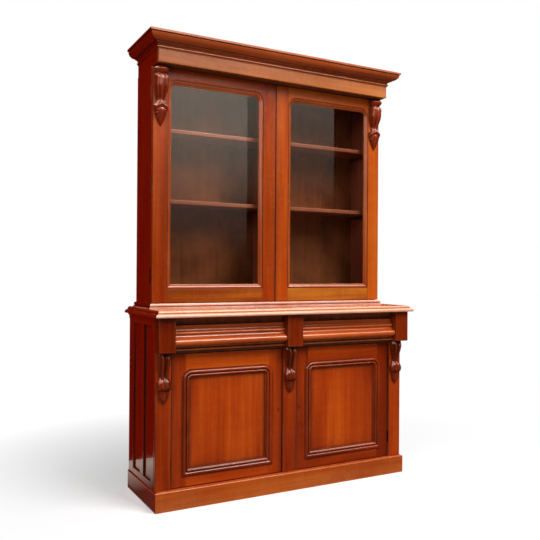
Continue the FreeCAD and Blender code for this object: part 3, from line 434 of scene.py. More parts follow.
def case_moulding(names, woods, node, steps, half, depth):
    """Run a moulding round a case, and place its front and its returns, each in its own wood."""
    front, returns = (Piece(name) for name in names)
    round_a_case(front, returns, steps, half, depth)
    front.place(woods[0], node)
    returns.place(woods[1], node)


def inside_a_door(piece, steps, window, radius, side, quirk, painted_shade=1.0):
    """Six lengths inside a frame; steps give (distance outwards from the inner edge, depth).

    Dirt and painted shade, by the given share, fill the outer edge and fade inwards from the distance
    quirk.
    """
    x0, x1, z0, z1 = window
    points = outline(steps)
    dirt_and_shade = painted_shade * np.clip((points[:, 0] - quirk) / (2 * MM), 0, 1)

    def run(along, *stations):
        path = [(origin, across, FORWARD) for origin, across in stations]
        sweep(piece, points, path, along, None, side, dirt_and_shade)

    for x, way in ((x0, -1), (x1, 1)):
        centre_x, centre_z = x - way * radius, z1 - radius
        rays = [(way * math.cos(t), 0, math.sin(t)) for t in np.linspace(0, math.pi / 2, 17)]
        run(2, ((x, 0, z0), (way, 0, -1)), ((x, 0, centre_z), (way, 0, 0)))
        run(2, *(((centre_x + radius * ray[0], 0, centre_z + radius * ray[2]), ray) for ray in rays))
    run(0, ((x0 + radius, 0, z1), Z_UP), ((x1 - radius, 0, z1), Z_UP))
    run(0, ((x0, 0, z0), (-1, 0, -1)), ((x1, 0, z0), (1, 0, -1)))


print("door mouldings have six lengths, case mouldings three")

# %% [markdown]
# ## Shader words
#
# A material is a small graph. These few helpers add a node, feed its sockets and return the
# socket that matters, so that each finish below reads like a recipe.

# %% Helpers for shader graphs
class Graph:
    """Adds nodes to a tree and joins them."""

    def __init__(self, tree):
        self.tree = tree

    def feed(self, node, values):
        """Give a node's sockets another socket, a plain value, or a colour without its alpha."""
        for key, value in values.items():
            socket = node.inputs[key]
            if isinstance(value, bpy.types.NodeSocket):
                self.tree.links.new(value, socket)
            else:
                socket.default_value = (*value, 1.0) if socket.type == "RGBA" else value

    def add(self, kind, inputs=None, **settings):
        node = self.tree.nodes.new("ShaderNode" + kind)
        for key, value in settings.items():
            setattr(node, key, value)
        self.feed(node, inputs or {})
        return node

    def maths(self, operation, a, b=0.0, clamp=False):
        return self.add("Math", {0: a, 1: b}, operation=operation, use_clamp=clamp).outputs[0]

    def times(self, a, b):
        return self.maths("MULTIPLY", a, b)

    def noise(self, vector, scale, detail=2.0, roughness=0.5, distortion=0.0):
        stretched = self.add("VectorMath", {0: vector, 1: scale}, operation="MULTIPLY").outputs[0]
        return self.add("TexNoise", {"Vector": stretched, "Scale": 1.0, "Detail": detail,
                                     "Roughness": roughness, "Distortion": distortion}).outputs[0]

    def remap(self, value, low, high, to_low=0.0, to_high=1.0):
        return self.add("MapRange", {0: value, 1: low, 2: high, 3: to_low, 4: to_high}).outputs[0]

    def mix(self, factor, a, b):
        return self.add("Mix", {0: factor, 6: a, 7: b}, data_type="RGBA").outputs[2]

    def place(self):
        return self.add("TexCoord").outputs["Object"]

    def seen(self):
        """1 on rays of the eye, of gloss and through glass, and 0 on rays that only carry light."""
        path = self.add("LightPath").outputs
        seen = self.maths("MAXIMUM", path["Is Camera Ray"], path["Is Glossy Ray"])
        return self.maths("MAXIMUM", seen, path["Is Transmission Ray"])

    def blend(self, factor, first, second):
        return self.add("MixShader", {0: factor, 1: first.outputs[0], 2: second.outputs[0]})

    def surface(self, shader):
        self.feed(self.tree.nodes["Material Output"], {"Surface": shader.outputs[0]})


def new_material(name):
    """A material, its graph and its Principled shader."""
    material = bpy.data.materials.new(name)
    material.use_nodes = True
    return material, Graph(material.node_tree), material.node_tree.nodes["Principled BSDF"]


def new_group(name, inputs, outputs):
    """A node group with sockets of the given kinds, its graph, and what is given to it."""
    tree = bpy.data.node_groups.new(name, "ShaderNodeTree")
    for way, sockets in (("INPUT", inputs), ("OUTPUT", outputs)):
        for label, kind in sockets.items():
            tree.interface.new_socket(label, in_out=way, socket_type="NodeSocket" + kind)
    return tree, Graph(tree), tree.nodes.new("NodeGroupInput").outputs


print("shader helpers ready")

# %% [markdown]
# ## The figure of mahogany
#
# Mahogany shows long wavy streaks, short open pores, slow clouds of colour across a board, and in
# a choice board a ribbon that runs across the grain. All four are noise, stretched by different
# amounts along and across the board's own grain. They add up to one number, which picks a colour
# between a dark, a middle and a light one.

# %% Group: mahogany figure
figure_group, g, given = new_group(
    "mahogany_figure",
    {"Grain": "Vector", "Tone": "Float", "Dark": "Color", "Middle": "Color", "Light": "Color",
     "Streaks": "Float", "Clouds": "Float", "Ribbon": "Float"},
    {"Color": "Color", "Height": "Float"})
streaks = g.noise(given["Grain"], (1.4, 34, 34), 5, 0.62, 0.5)
pores = g.noise(given["Grain"], (26, 520, 520), 2, 0.6)
clouds = g.noise(given["Grain"], (1.2, 5.5, 5.5))
ribbon = g.noise(given["Grain"], (17, 6, 6), 3, 0.55, 1.2)
total = g.maths("ADD", 0.5, given["Tone"])
for part, share in ((streaks, "Streaks"), (clouds, "Clouds"), (ribbon, "Ribbon")):
    swing = g.times(g.maths("SUBTRACT", part, 0.5), given[share])
    total = g.maths("ADD", total, g.times(swing, 2.0))
open_pores = g.remap(pores, 0.40, 0.30)
total = g.maths("SUBTRACT", total, g.times(open_pores, 0.18))
shade = g.mix(g.remap(total, 0.05, 0.5), given["Dark"], given["Middle"])
shade = g.mix(g.remap(total, 0.5, 0.95), shade, given["Light"])
height = g.maths("SUBTRACT", g.times(streaks, 0.6), g.times(open_pores, 0.5))
g.feed(figure_group.nodes.new("NodeGroupOutput"), {"Color": shade, "Height": height})
print("figure group:", len(figure_group.nodes), "nodes")

# %% [markdown]
# ## Age in the polish
#
# French polish is a skin of shellac. Hands and dusters thin it on the arrises, where the wood
# shows lighter, and old wax and dust darken the quirks; the same dark also paints the shade in
# quirks, creases, gaps and under overhangs, and on the worktop the lighter colour is a painted
# sheen. The skin is never quite even, so its gloss changes in soft patches.

# %% Group: polish with age
polish_group, g, given = new_group(
    "polish_with_age",
    {"Color": "Color", "Position": "Vector", "Wear": "Float", "Grime and shade": "Float", "Rubbed and sheen": "Color",
     "Dirt and shade": "Color", "Gloss": "Float"},
    {"Color": "Color", "Roughness": "Float", "Skin": "Float"})
patches = g.noise(given["Position"], (7, 7, 7), 3, 0.6)
smears = g.noise(given["Position"], (38, 38, 21))
# The rubbed colour is real wear, and on the worktop a painted sheen.
rubbed_and_sheen = g.times(given["Wear"], g.remap(patches, 0.3, 0.7, 0.08, 0.45))
# The dark mix is dirt and painted shade: wax in the quirks, and shade in recesses and gaps.
dirt_and_shade_share = g.maths("MULTIPLY", given["Grime and shade"], g.remap(smears, 0.25, 0.7, 0.75, 1.0), True)
shade = g.mix(dirt_and_shade_share, g.mix(rubbed_and_sheen, given["Color"], given["Rubbed and sheen"]), given["Dirt and shade"])
rough = g.maths("ADD", given["Gloss"], g.remap(patches, 0.3, 0.7, -0.05, 0.08))
rough = g.maths("ADD", rough, g.remap(smears, 0.3, 0.7, -0.03, 0.04))
rough = g.maths("ADD", rough, g.times(dirt_and_shade_share, 0.3), True)
skin = g.maths("SUBTRACT", 1.0, g.times(dirt_and_shade_share, 0.8), True)
g.feed(polish_group.nodes.new("NodeGroupOutput"), {"Color": shade, "Roughness": rough, "Skin": skin})
print("polish group:", len(polish_group.nodes), "nodes")

# %% [markdown]
# ## The wood finishes
#
# Every wooden surface uses the two groups, with its own three colours. A drawn piece reads the
# grain of its own boards. A piece of the frame that shows as it is has no such layer, so there the
# grain follows the object's axes, turned to run along the board.

# %% A maker of wood finishes
def wood(name, dark, middle, light, streaks=0.5, clouds=0.6, ribbon=0.10, gloss=0.22, coat=0.4,
         rubbed_and_sheen=(0.5, 0.16, 0.05), turn=None, bump=0.07, shine=0.12, skin=0.1):
    """A polished wood; turn, if given, is the axis of the grain on plain object coordinates.

    Skin is how rough the coat of polish is, and shine how strongly the wood below it mirrors.
    """
    material, g, shader = new_material(name)
    place = g.place()
    if turn is None:
        grain = g.add("Attribute", attribute_name="grain").outputs["Vector"]
        wear, grime_and_shade, tone = (g.add("Attribute", attribute_name=word).outputs["Fac"]
                             for word in ("wear", "grime_and_shade", "tone"))
    else:
        parts = g.add("SeparateXYZ", {0: place}).outputs
        grain = g.add("CombineXYZ", {k: parts[(turn + k) % 3] for k in range(3)}).outputs[0]
        wear, grime_and_shade, tone = 0.0, 0.0, 0.0
    figure = g.add("Group", {
        "Grain": grain, "Tone": tone, "Dark": dark, "Middle": middle, "Light": light,
        "Streaks": streaks, "Clouds": clouds, "Ribbon": ribbon}, node_tree=figure_group).outputs
    polish = g.add("Group", {
        "Color": figure["Color"], "Position": place, "Wear": wear, "Grime and shade": grime_and_shade, "Rubbed and sheen": rubbed_and_sheen,
        "Dirt and shade": (0.02, 0.005, 0.003), "Gloss": gloss}, node_tree=polish_group).outputs
    relief = g.add("Bump", {"Height": figure["Height"], "Strength": bump, "Distance": 0.4 * MM})
    g.feed(shader, {"Base Color": polish["Color"], "Roughness": polish["Roughness"],
                    "Coat Weight": g.times(polish["Skin"], coat), "Coat Roughness": skin,
                    "Specular IOR Level": shine, "Normal": relief.outputs["Normal"]})
    return material


print("a wood takes three colours and a few habits")

# %% The finishes of this bookcase
front_wood = wood("polished_front", (0.18, 0.019, 0.0015), (0.32, 0.045, 0.0035),
                  (0.45, 0.096, 0.008), coat=0.25)
# The glazed doors' bottom rails are lighter and more golden: a painted reflection of the worktop.
rail_wood_painted_reflection = wood("polished_bottom_rails_painted_reflection", (0.18, 0.034, 0.004), (0.31, 0.080, 0.009),
                 (0.43, 0.165, 0.016), coat=0.25)
door_wood = wood("polished_doors", (0.17, 0.014, 0.0010), (0.33, 0.036, 0.0018),
                 (0.46, 0.072, 0.004), coat=0.3)
drawer_wood = wood("polished_drawers", (0.24, 0.028, 0.003), (0.42, 0.072, 0.010),
                   (0.56, 0.13, 0.026), coat=0.65, gloss=0.26, skin=0.05)
# The blocks' wood is darker: partly its own tone, partly painted shade under the worktop.
block_wood_painted_shade = wood("polished_blocks_painted_shade", (0.07, 0.005, 0.0005), (0.15, 0.013, 0.0010),
                  (0.26, 0.030, 0.0025), streaks=0.4)
# The sides are a darker, redder copy of the wood: painted shade and a painted red reflection.
side_wood_painted_shade = wood("polished_sides_painted_shade", (0.12, 0.0045, 0.0006), (0.19, 0.0085, 0.0010),
                 (0.27, 0.016, 0.0016), streaks=0.4, coat=1.0, gloss=0.14, rubbed_and_sheen=(0.30, 0.025, 0.004),
                 bump=0.03, skin=0.02)
# The frieze is paler and pinker than the front: a painted sheen of the bright sky above.
frieze_wood_painted_sheen = wood("polished_frieze_painted_sheen", (0.22, 0.055, 0.012), (0.36, 0.106, 0.028), (0.46, 0.16, 0.048),
                   rubbed_and_sheen=(0.52, 0.2, 0.07))
cornice_wood = wood("polished_cornice", (0.17, 0.022, 0.0035), (0.28, 0.044, 0.007),
                    (0.40, 0.080, 0.014), rubbed_and_sheen=(0.5, 0.18, 0.07), coat=0.4)
glazing_wood = wood("polished_glazing_bars", (0.17, 0.022, 0.003), (0.27, 0.040, 0.005),
                    (0.38, 0.075, 0.010), rubbed_and_sheen=(0.5, 0.16, 0.06), coat=0.55)
# The worktop's pale colour and its pale pink rubbed colour are a painted sheen of a bright sky.
top_wood_painted_sheen = wood("polished_worktop_painted_sheen", (0.38, 0.108, 0.044), (0.54, 0.205, 0.092), (0.64, 0.29, 0.15),
                coat=0.3, gloss=0.25, rubbed_and_sheen=(0.66, 0.60, 0.70), shine=0.25, skin=0.12)
# The worktop's ends are darker and redder: painted shade and a painted red reflection.
end_wood_painted_shade = wood("polished_worktop_ends_painted_shade", (0.15, 0.012, 0.002), (0.24, 0.022, 0.004), (0.34, 0.04, 0.008),
                coat=1.0, gloss=0.14, rubbed_and_sheen=(0.40, 0.06, 0.012), bump=0.03, skin=0.03)
moulding_wood = wood("polished_mouldings", (0.09, 0.007, 0.001), (0.20, 0.018, 0.0020),
                     (0.34, 0.042, 0.005), gloss=0.2, coat=0.7, rubbed_and_sheen=(0.42, 0.09, 0.02))
carved_wood = wood("carved_corbels", (0.05, 0.0035, 0.0007), (0.13, 0.010, 0.0013),
                   (0.25, 0.026, 0.0035), gloss=0.26, coat=0.4, rubbed_and_sheen=(0.38, 0.065, 0.012))
plank_wood = wood("back_planks", (0.05, 0.010, 0.0035), (0.10, 0.022, 0.008), (0.17, 0.045, 0.017),
                  gloss=0.5, coat=0.0, shine=0.08, ribbon=0.02, clouds=0.3)
shelf_wood = wood("shelf_boards", (0.14, 0.028, 0.013), (0.24, 0.055, 0.028), (0.34, 0.10, 0.05),
                  gloss=0.4, coat=0.1, shine=0.1, ribbon=0.03)
inner_wood = {axis: wood("inner_boards_" + "xyz"[axis], (0.06, 0.014, 0.006), (0.12, 0.032, 0.013),
                         (0.20, 0.065, 0.028), gloss=0.5, coat=0.0, turn=axis, shine=0.08, ribbon=0.02,
                         clouds=0.3)
              for axis in range(3)}
print(len(bpy.data.materials), "materials so far")

# %% [markdown]
# ## Brass, keyholes and glass
#
# The hinges, locks and bolts are old brass, brown where nobody touches it. Brass is a metal, so
# its colour tints its reflections. A keyhole is a plug of painted shade. The panes are thin
# soda glass: they bend light a little, mirror the room weakly, and let the lamps through.

# %% Brass, keyholes and glass
def aged_brass(name, bright, dull):
    """Warm metal whose colour and roughness drift with tarnish."""
    material, g, shader = new_material(name)
    tarnish = g.noise(g.place(), (90, 90, 90), 4, 0.6)
    g.feed(shader, {"Base Color": g.mix(g.remap(tarnish, 0.35, 0.65), bright, dull),
                    "Roughness": g.remap(tarnish, 0.3, 0.7, 0.25, 0.5), "Metallic": 1.0})
    return material


def painted_keyhole_shade():
    """Painted shade for inside a keyhole: nearly black, a little browner here and there."""
    material, g, shader = new_material("keyhole_painted_shade")
    spots = g.remap(g.noise(g.place(), (400, 400, 400)), 0.4, 0.6)
    g.feed(shader, {"Base Color": g.mix(spots, (0.006, 0.003, 0.002), (0.02, 0.008, 0.004)),
                    "Roughness": 0.8, "Specular IOR Level": 0.1})
    return material


def pane_glass():
    """Clear glass, a little duller where it was wiped; rays from lamps pass straight through."""
    material, g, shader = new_material("pane_glass")
    smears = g.remap(g.noise(g.place(), (5, 5, 3), 4, 0.6), 0.4, 0.75)
    g.feed(shader, {"Base Color": g.mix(smears, (0.92, 0.94, 0.92), (0.84, 0.85, 0.82)),
                    "Roughness": 0.0, "Transmission Weight": 1.0, "IOR": 1.5})
    path = g.add("LightPath").outputs
    lamps = g.maths("MAXIMUM", path["Is Shadow Ray"], path["Is Diffuse Ray"])
    g.surface(g.blend(lamps, shader, g.add("BsdfTransparent", {"Color": (0.86, 0.88, 0.86)})))
    return material


brass = aged_brass("aged_brass", (0.42, 0.25, 0.10), (0.16, 0.09, 0.035))
hinge_brass = aged_brass("browned_brass", (0.10, 0.022, 0.007), (0.04, 0.009, 0.003))
keyhole, glass = painted_keyhole_shade(), pane_glass()
print("brass, keyhole and glass are ready")

# %% [markdown]
# ## The plinth
#
# The cupboard stands on a low plinth: a front and two returns with a rounded top edge, mitred at
# the corners, and hidden rails behind them. It is a moulding round a case, only taller.

# %% Plinth
def plinth_boards():
    """A plain section with a quarter round on its top outer edge, and two straight rails."""
    thick, radius, top = plinth.d1 - plinth.d0, 7 * MM, plinth.z1
    bearer_wide, bearer_thick = 40 * MM, 22 * MM
    steps = [(-thick, 0), (0, 0), (0, top - radius), (-radius, top, near_centre), (-thick, top)]
    front, returns = Piece("plinth_front_board"), Piece("plinth_return_boards")
    round_a_case(front, returns, steps, plinth.x1, plinth.d1, 0.2)
    front.place(front_wood, "plinth_front")
    inner = plinth.x1 - thick
    board(returns, -inner, inner, 0, carcass_board, 0, top, 0)
    board(returns, -inner, inner, plinth.d0 - bearer_wide, plinth.d0, top - bearer_thick, top, 0)
    returns.place(side_wood_painted_shade, "plinth_returns")


plinth_boards()

# %% [markdown]
# ## The cupboard's sides
#
# Each side is a frame of three uprights and two rails with two thin panels sunk 8 mm behind
# its face. Dirt and painted shade lie along the panels' edges, where a duster can't reach and the
# recess is in shadow: it falls away from the edge as an exponential.

# %% Side frames and panels
def inside_by(window, a, b):
    """How far points lie inside the nearest edge of a rectangle."""
    a0, a1, b0, b1 = window
    return np.minimum(np.minimum(a - a0, a1 - a), np.minimum(b - b0, b1 - b))


def edge_dirt_and_shade(window, reach, strength):
    """Dirt and painted shade that fade from strength at the edges of a rectangle over reach."""
    return lambda a, b: strength * np.exp(-np.maximum(inside_by(window, a, b), 0) / reach)


edge_cuts = (0.01, 0.03, 0.07, 0.2, 0.5, 0.8, 0.93, 0.97, 0.99)


def cupboard_sides():
    """Boards for the frames and finely divided ones for the panels."""
    room = Room("lower_side_frames")
    outer, inner = room.x1, room.x1 - 22 * MM
    z0, z1, front = room.z0, room.z1, room.d1
    low, high, last = z0 + side_bottom_rail, z1 - side_top_rail, front - front_stile
    middle = (rear_stile + last - muntin) / 2
    face, panel_thick = outer - side_recess, 9 * MM
    frames, panels = Piece("cupboard_side_frames"), Piece("cupboard_side_panels")

    def recess_shade(x, d, z):
        """Full painted shade, with dirt, on the narrow walls round the panels, where the recess is in
        shadow.
        """
        inside = (d > rear_stile - hair) & (d < last + hair)
        return 1.0 * (inside & (z > low - hair) & (z < high + hair) & (x < outer - 0.5 * MM))

    parts = ((0, rear_stile, z0, z1, 2), (last, front, z0, z1, 2), (rear_stile, last, z0, low, 1),
             (rear_stile, last, high, z1, 1), (middle, middle + muntin, low, high, 2))
    for _, side in SIDES:
        for *spans, along in parts:
            board(frames, inner, outer, *spans, along, grime_and_shade=recess_shade, side=side)
        for d0, d1 in ((rear_stile, middle), (middle + muntin, last)):
            dirt_and_shade = edge_dirt_and_shade((d0, d1, low, high), 6 * MM, 1.0)
            board(panels, face - panel_thick, face, d0, d1, low, high, 2,
                  grime_and_shade=lambda x, d, z, dirt_and_shade=dirt_and_shade: dirt_and_shade(d, z), cuts=edge_cuts, stops=edge_cuts,
                  side=side)
    frames.place(side_wood_painted_shade, "lower_side_frames")
    panels.place(side_wood_painted_shade, "lower_side_panels")


cupboard_sides()

# %% [markdown]
# ## Pilasters, frieze blocks and the small cove under the worktop
#
# Three flat uprights stand between and beside the doors. A block sits over each one and
# reaches forward under the worktop. Their edges are softened a little more than a board's.

# %% Uprights and blocks
def uprights_and_blocks():
    """Boards only: the side uprights stand a hair clear of the hinge leaves."""
    half, inner = pilaster_width / 2, uprights.x1 - pilaster_width
    wide_half = half + blocks.x1 - uprights.x1
    stands, heads = Piece("front_pilasters"), Piece("frieze_block_heads")

    def painted_shade(x, d, z):
        """Painted shadow of the worktop: darker at the top of a block, fading downwards."""
        return 0.45 * np.exp((z - blocks.z1) / (30 * MM))

    # These tones are partly painted light and shade: the right-hand upright and block are lightest.
    for x0, x1, tone in ((-uprights.x1, -inner - hair, -0.2), (-half, half, -0.38),
                         (inner + hair, uprights.x1, 0.0)):
        board(stands, *uprights.spans(x0, x1), 2, edge=2.5 * MM, tone=tone, soil_and_shade=0.45)
    for x0, x1, tone in ((-blocks.x1, -inner, -0.2), (-wide_half, wide_half, 0.08),
                         (inner, blocks.x1, 0.45)):
        board(heads, *blocks.spans(x0, x1), 2, edge=2.5 * MM, grime_and_shade=painted_shade, stops=(0.3, 0.6, 0.8, 0.9),
              tone=tone, soil_and_shade=0.4)
    stands.place(door_wood, "pilasters")
    heads.place(block_wood_painted_shade, "frieze_blocks")


def bed_moulding_strips():
    """A cove between two fillets, run along each side."""
    room, strips = Room("worktop_bed_mouldings"), Piece("cove_strips")
    out_to, low, top, fillet = room.x1 - uprights.x1, room.z0, room.z1, 3 * MM
    steps = [(0, top), (out_to, top), (out_to, top - fillet), (fillet, low + fillet, cove),
             (fillet, low), (0, low)]
    path = [((uprights.x1, depth, 0), OUTWARDS, Z_UP) for depth in (room.d0, room.d1)]
    for _, side in SIDES:
        sweep(strips, outline(steps), path, 1, None, side)
    strips.place(side_wood_painted_shade, "worktop_bed_mouldings")


uprights_and_blocks()
bed_moulding_strips()

# %% [markdown]
# ## The worktop
#
# One wide board with a thumb nosing below and a smaller rounded step above. The edge is drawn as
# three mitred lengths, so that the grain turns at the corners as it does on the real ends, and
# a flat board fills the middle. The ends are darker: painted shade and a painted red reflection.

# %% Worktop
def worktop_board():
    """The edge's section, drawn inwards from the board's outline, then the flat middle."""
    low, top, band = slab.z0, slab.z1, 28 * MM
    foot_round, nose_top, quirk = 5 * MM, low + 19 * MM, 4 * MM
    thumb, thumb_end = (-3.6 * MM, low + 13.5 * MM), (-13 * MM, nose_top)
    step, second, second_round = 16 * MM, 27 * MM, 3.2 * MM
    steps = [(-band, low), (-foot_round, low), (0, low + foot_round, far_centre),
             (thumb, thumb_end), (-step, nose_top), (-step, nose_top + quirk),
             ((-step - second_round, top - second_round), (-second, top)), (-band, top)]
    case_moulding(("worktop_front_edge", "worktop_end_edges"), (top_wood_painted_sheen, end_wood_painted_shade), "worktop", steps,
                  slab.x1, slab.d1)
    middle = Piece("worktop_middle")
    board(middle, band - slab.x1, slab.x1 - band, 0, slab.d1 - band, low, top, 0, edge=0.3 * MM)
    middle.place(top_wood_painted_sheen, "worktop")


worktop_board()

# %% [markdown]
# ## The drawers
#
# Between the blocks a drawer shows one bold moulded front: a thick nose over a hollow, a bead and
# a fillet above it. It is one section run from side to side.

# %% Drawer fronts
def drawer_fronts():
    """The section of a drawer front, measured from the pilasters' face and the drawer's foot."""
    back, z0, z1 = drawer.d0, drawer.z0, drawer.z1
    flat, fillet, bead, nose, foot = (uprights.d1 + out * MM for out in (6, 14, 28, 54, 32))
    foot_top, hollow_low, low, bead_low, fillet_low, fillet_high = (
        z0 + up * MM for up in (6, 8, 24, 76, 108, 118))
    r, bead_r = 16 * MM, 6 * MM
    high, bead_high = low + 2 * r, bead_low + 2 * bead_r
    body, root, foot_in = nose - r, bead - bead_r, foot - r / 2
    steps = [(back, z0), (foot, z0), (foot, foot_top), (foot_in, hollow_low), (body, low, undercut),
             ((nose, low + r), (body, high)), (root, bead_low, cove),
             ((bead, bead_low + bead_r), (root, bead_high)), (fillet, fillet_low, cove),
             (fillet, fillet_high), (flat, fillet_high), (flat, z1), (back, z1)]
    points = outline(steps, count=13)
    # Painted shade: darker at the foot under the nose, and on the top flat under the worktop.
    dirt_and_shade = 0.65 * (1 - ramp(points[:, 1], z0 + 7 * MM, z0 + 20 * MM))
    dirt_and_shade += 0.55 * ramp(points[:, 1], fillet_high - 1 * MM, fillet_high + 3 * MM)
    path = [((x, 0, 0), FORWARD, Z_UP) for x in (drawer.x0, drawer.x1)]
    for word, side in SIDES:
        piece = Piece(word + "_drawer_moulded_front")
        sweep(piece, points, path, 0, None, side, dirt_and_shade)
        piece.place(drawer_wood, word + "_drawer_front", body=word + "_drawer")


drawer_fronts()

# %% [markdown]
# ## The doors' frames
#
# A door is two stiles with rails between them. The top rail is cut to a quarter circle at both
# ends, where the moulding turns: its lower edge is the circle's height over each place, so it is
# lofted along x.

# %% Stiles and rails
thin_arris = 0.6 * MM


def arched_rail(piece, x0, x1, d0, d1, crown, top, radius, side, tone, dirt_and_shade):
    """A rail whose lower edge is centre height + sqrt(radius^2 - distance^2) near both ends."""
    turn = np.linspace(0, math.pi / 2, 13)
    near, drop = radius * (1 - np.cos(turn)), radius * (1 - np.sin(turn))
    places = np.concatenate([x0 + near, x1 - near[::-1]])
    lows = crown - np.concatenate([drop, drop[::-1]])
    rings, worn = [], []
    for x, low in zip(places, lows):
        flat, wear = rounded_rectangle(d0, d1, low, top, thin_arris)
        rings.append(np.column_stack([np.full(len(flat), x), flat]))
        worn.append(wear)
    rings = np.array(rings)
    # Painted shade on the rail's underside, the step down to the moulding.
    under_shade = (rings[..., 1] < d1 - 0.3 * MM) & (rings[..., 2] < lows[:, None] + hair)
    piece.loft(rings, 0, np.array(worn) * 0.4, dirt_and_shade * under_shade, tone, side)


def lock_pocket(room, lock, wide, deep, tall):
    """The corner that a stile loses to its lock, or to the other door's bolt."""
    middle, reach = lock.middle_height(), tall / 2 + hair
    return room.x0 + wide + hair, room.d0 + deep + hair, middle - reach, middle + reach


def door_frame(name, node, room, window, radius, side, woods, tones, pocket):
    """Two stiles, an arched top rail and a bottom rail; faces near brass stand a hair back.

    Tones are for the meeting stile, hinge stile, top rail and bottom rail.
    """
    x0, x1, d0, d1 = room.x0 + hair, room.x1 - hair, room.d0 + hair, room.d1
    z0, z1, body = room.z0, room.z1, node.replace("_frame", "")
    inner_x0, inner_x1, low, high = window

    def dirt_and_shade(x, d, z):
        """Painted shade, with dirt, on the step down to the moulding, and along the gaps by the
        upright.
        """
        inside = (x > inner_x0 - hair) & (x < inner_x1 + hair) & (z > low - hair) & (z < high)
        gap, reach = ((x - x0, 4.5 * MM) if room is tall_door
                      else (np.minimum(x - x0, x1 - x), 7 * MM))
        return np.maximum(0.7 * (inside & (d < d1 - 0.3 * MM)), 0.95 * np.exp(-gap / reach))

    piece, foot = Piece(name), Piece(name.replace("frame", "bottom_rail"))
    for a, b, tone, cut in ((x0, inner_x0, tones[0], pocket), (inner_x1, x1, tones[1], None)):
        board(piece, a, b, d0, d1, z0, z1, 2, grime_and_shade=dirt_and_shade, tone=tone, side=side, soil_and_shade=0.6, pocket=cut)
    arched_rail(piece, inner_x0, inner_x1, d0, d1, high, z1, radius, side, tones[2], 0.7)
    board(foot, inner_x0, inner_x1, d0, d1, z0, low, 0, edge=thin_arris, grime_and_shade=dirt_and_shade, tone=tones[3],
          side=side, soil_and_shade=0.5)
    piece.place(woods[0], node, body=body)
    foot.place(woods[1], node, body=body)


def all_door_frames():
    """Three doors lose a block to a lock case, and the left glazed door a notch to its bolt."""
    case_block, bolt_notch = (44 * MM, 12 * MM, 40 * MM), (8.6 * MM, 7.9 * MM, 15 * MM)
    # The glazed doors' tones are partly painted light and shade: the left door darker, the right
    # lighter.
    for (word, side), low_tones, tall_tones, tall_cut in zip(
            SIDES, ((0.0, 0.0, 0.4, 0.05), (-0.1, -0.55, 0.0, -0.3)),
            ((-0.25, -0.2, -0.5, -0.4), (0.12, 0.15, 0.1, 0.1)), (bolt_notch, case_block)):
        door_frame(word + "_cupboard_door_frame", "lower_%s_door_frame" % word, low_door, low_sight,
                   bolection_radius + bolection_width / 2, side, (door_wood, door_wood), low_tones,
                   lock_pocket(low_door, Room("lower_%s_lock" % word), *case_block))
        door_frame(word + "_glazed_door_frame", "upper_%s_door_frame" % word, tall_door, tall_sight,
                   glazing_radius + glazing_width, side, (front_wood, rail_wood_painted_reflection), tall_tones,
                   lock_pocket(tall_door, Room("upper_right_lock"), *tall_cut))


all_door_frames()

# %% [markdown]
# ## Panels and their bold moulding
#
# The cupboard doors hold flat panels under a bolection: a moulding with two ribs that stands
# proud of the frame and covers the joint.

# %% Cupboard door panels and mouldings
def shrunk(window, by):
    """A rectangle with its four edges moved inwards."""
    x0, x1, z0, z1 = window
    return x0 + by, x1 - by, z0 + by, z1 - by


def bolection_steps():
    """The section from its inner edge outwards: a small rib, a quirk and a broad rib."""
    face, panel_face, drop = low_door.d1, low_panel.d1, 3 * MM

    def at(out, up):
        """A point at shares of the moulding's width and of its height over the frame."""
        return bolection_width * out, face + bolection_height * up

    return [(0, panel_face), (0, face - drop), (bolection_width * 0.1, face - drop * 0.8),
            (at(0.16, 0.2), at(0.2, 0.35)), (at(0.29, 0.72), at(0.38, 0.35)), at(0.42, 0.05),
            at(0.5, 0.3), (at(0.68, 1), at(0.85, 0.5)), at(0.9, 0.25), at(1, 0.2), at(1, 0),
            at(0.5, 0), (bolection_width / 2, panel_face)]


def cupboard_door_fillings():
    """A finely divided panel and six lengths of bolection on each door."""
    x0, x1, z0, z1 = window = shrunk(low_sight, bolection_width / 2)
    middle_x, middle_z = (x0 + x1) / 2, (z0 + z1) / 2
    # Dirt and painted shade along the panel's edges, under the bolection.
    dirt_and_shade = edge_dirt_and_shade(window, 7 * MM, 0.9)

    def painted_light_and_shade(x, z, darker):
        """A painted pool of light on the middle of a panel, a broad bell, with painted shade towards
        the hinges.
        """
        bell = bump_at(x, middle_x, 0.6 * (x1 - x0)) * bump_at(z, middle_z, 0.7 * (z1 - z0))
        return 0.25 * bell - darker * ramp(x, middle_x, x1)

    for (word, side), darker in zip(SIDES, (0.05, 0.40)):
        body = "lower_%s_door" % word
        panel, moulding = (Piece(word + "_cupboard_door_" + part) for part in ("panel", "bolection"))
        board(panel, *low_sight[:2], low_panel.d0, low_panel.d1, *low_sight[2:], 2,
              grime_and_shade=lambda x, d, z: dirt_and_shade(x, z), cuts=edge_cuts, stops=edge_cuts,
              tone=lambda x, d, z: painted_light_and_shade(x, z, darker), side=side)
        panel.place(door_wood, body + "_panel", body=body)
        inside_a_door(moulding, bolection_steps(), window, bolection_radius, side,
                      bolection_width - 2 * MM)
        moulding.place(moulding_wood, body + "_moulding", body=body)


cupboard_door_fillings()

# %% [markdown]
# ## Glazing
#
# A rebated moulding frames each pane, with small beads behind that hold the glass. Old sheet
# glass is never quite flat: both faces of a pane carry the same slow ripples, a fraction of a
# millimetre high, which bend reflections a little.

# %% Glazing mouldings and beads
glass_play = 0.3 * MM


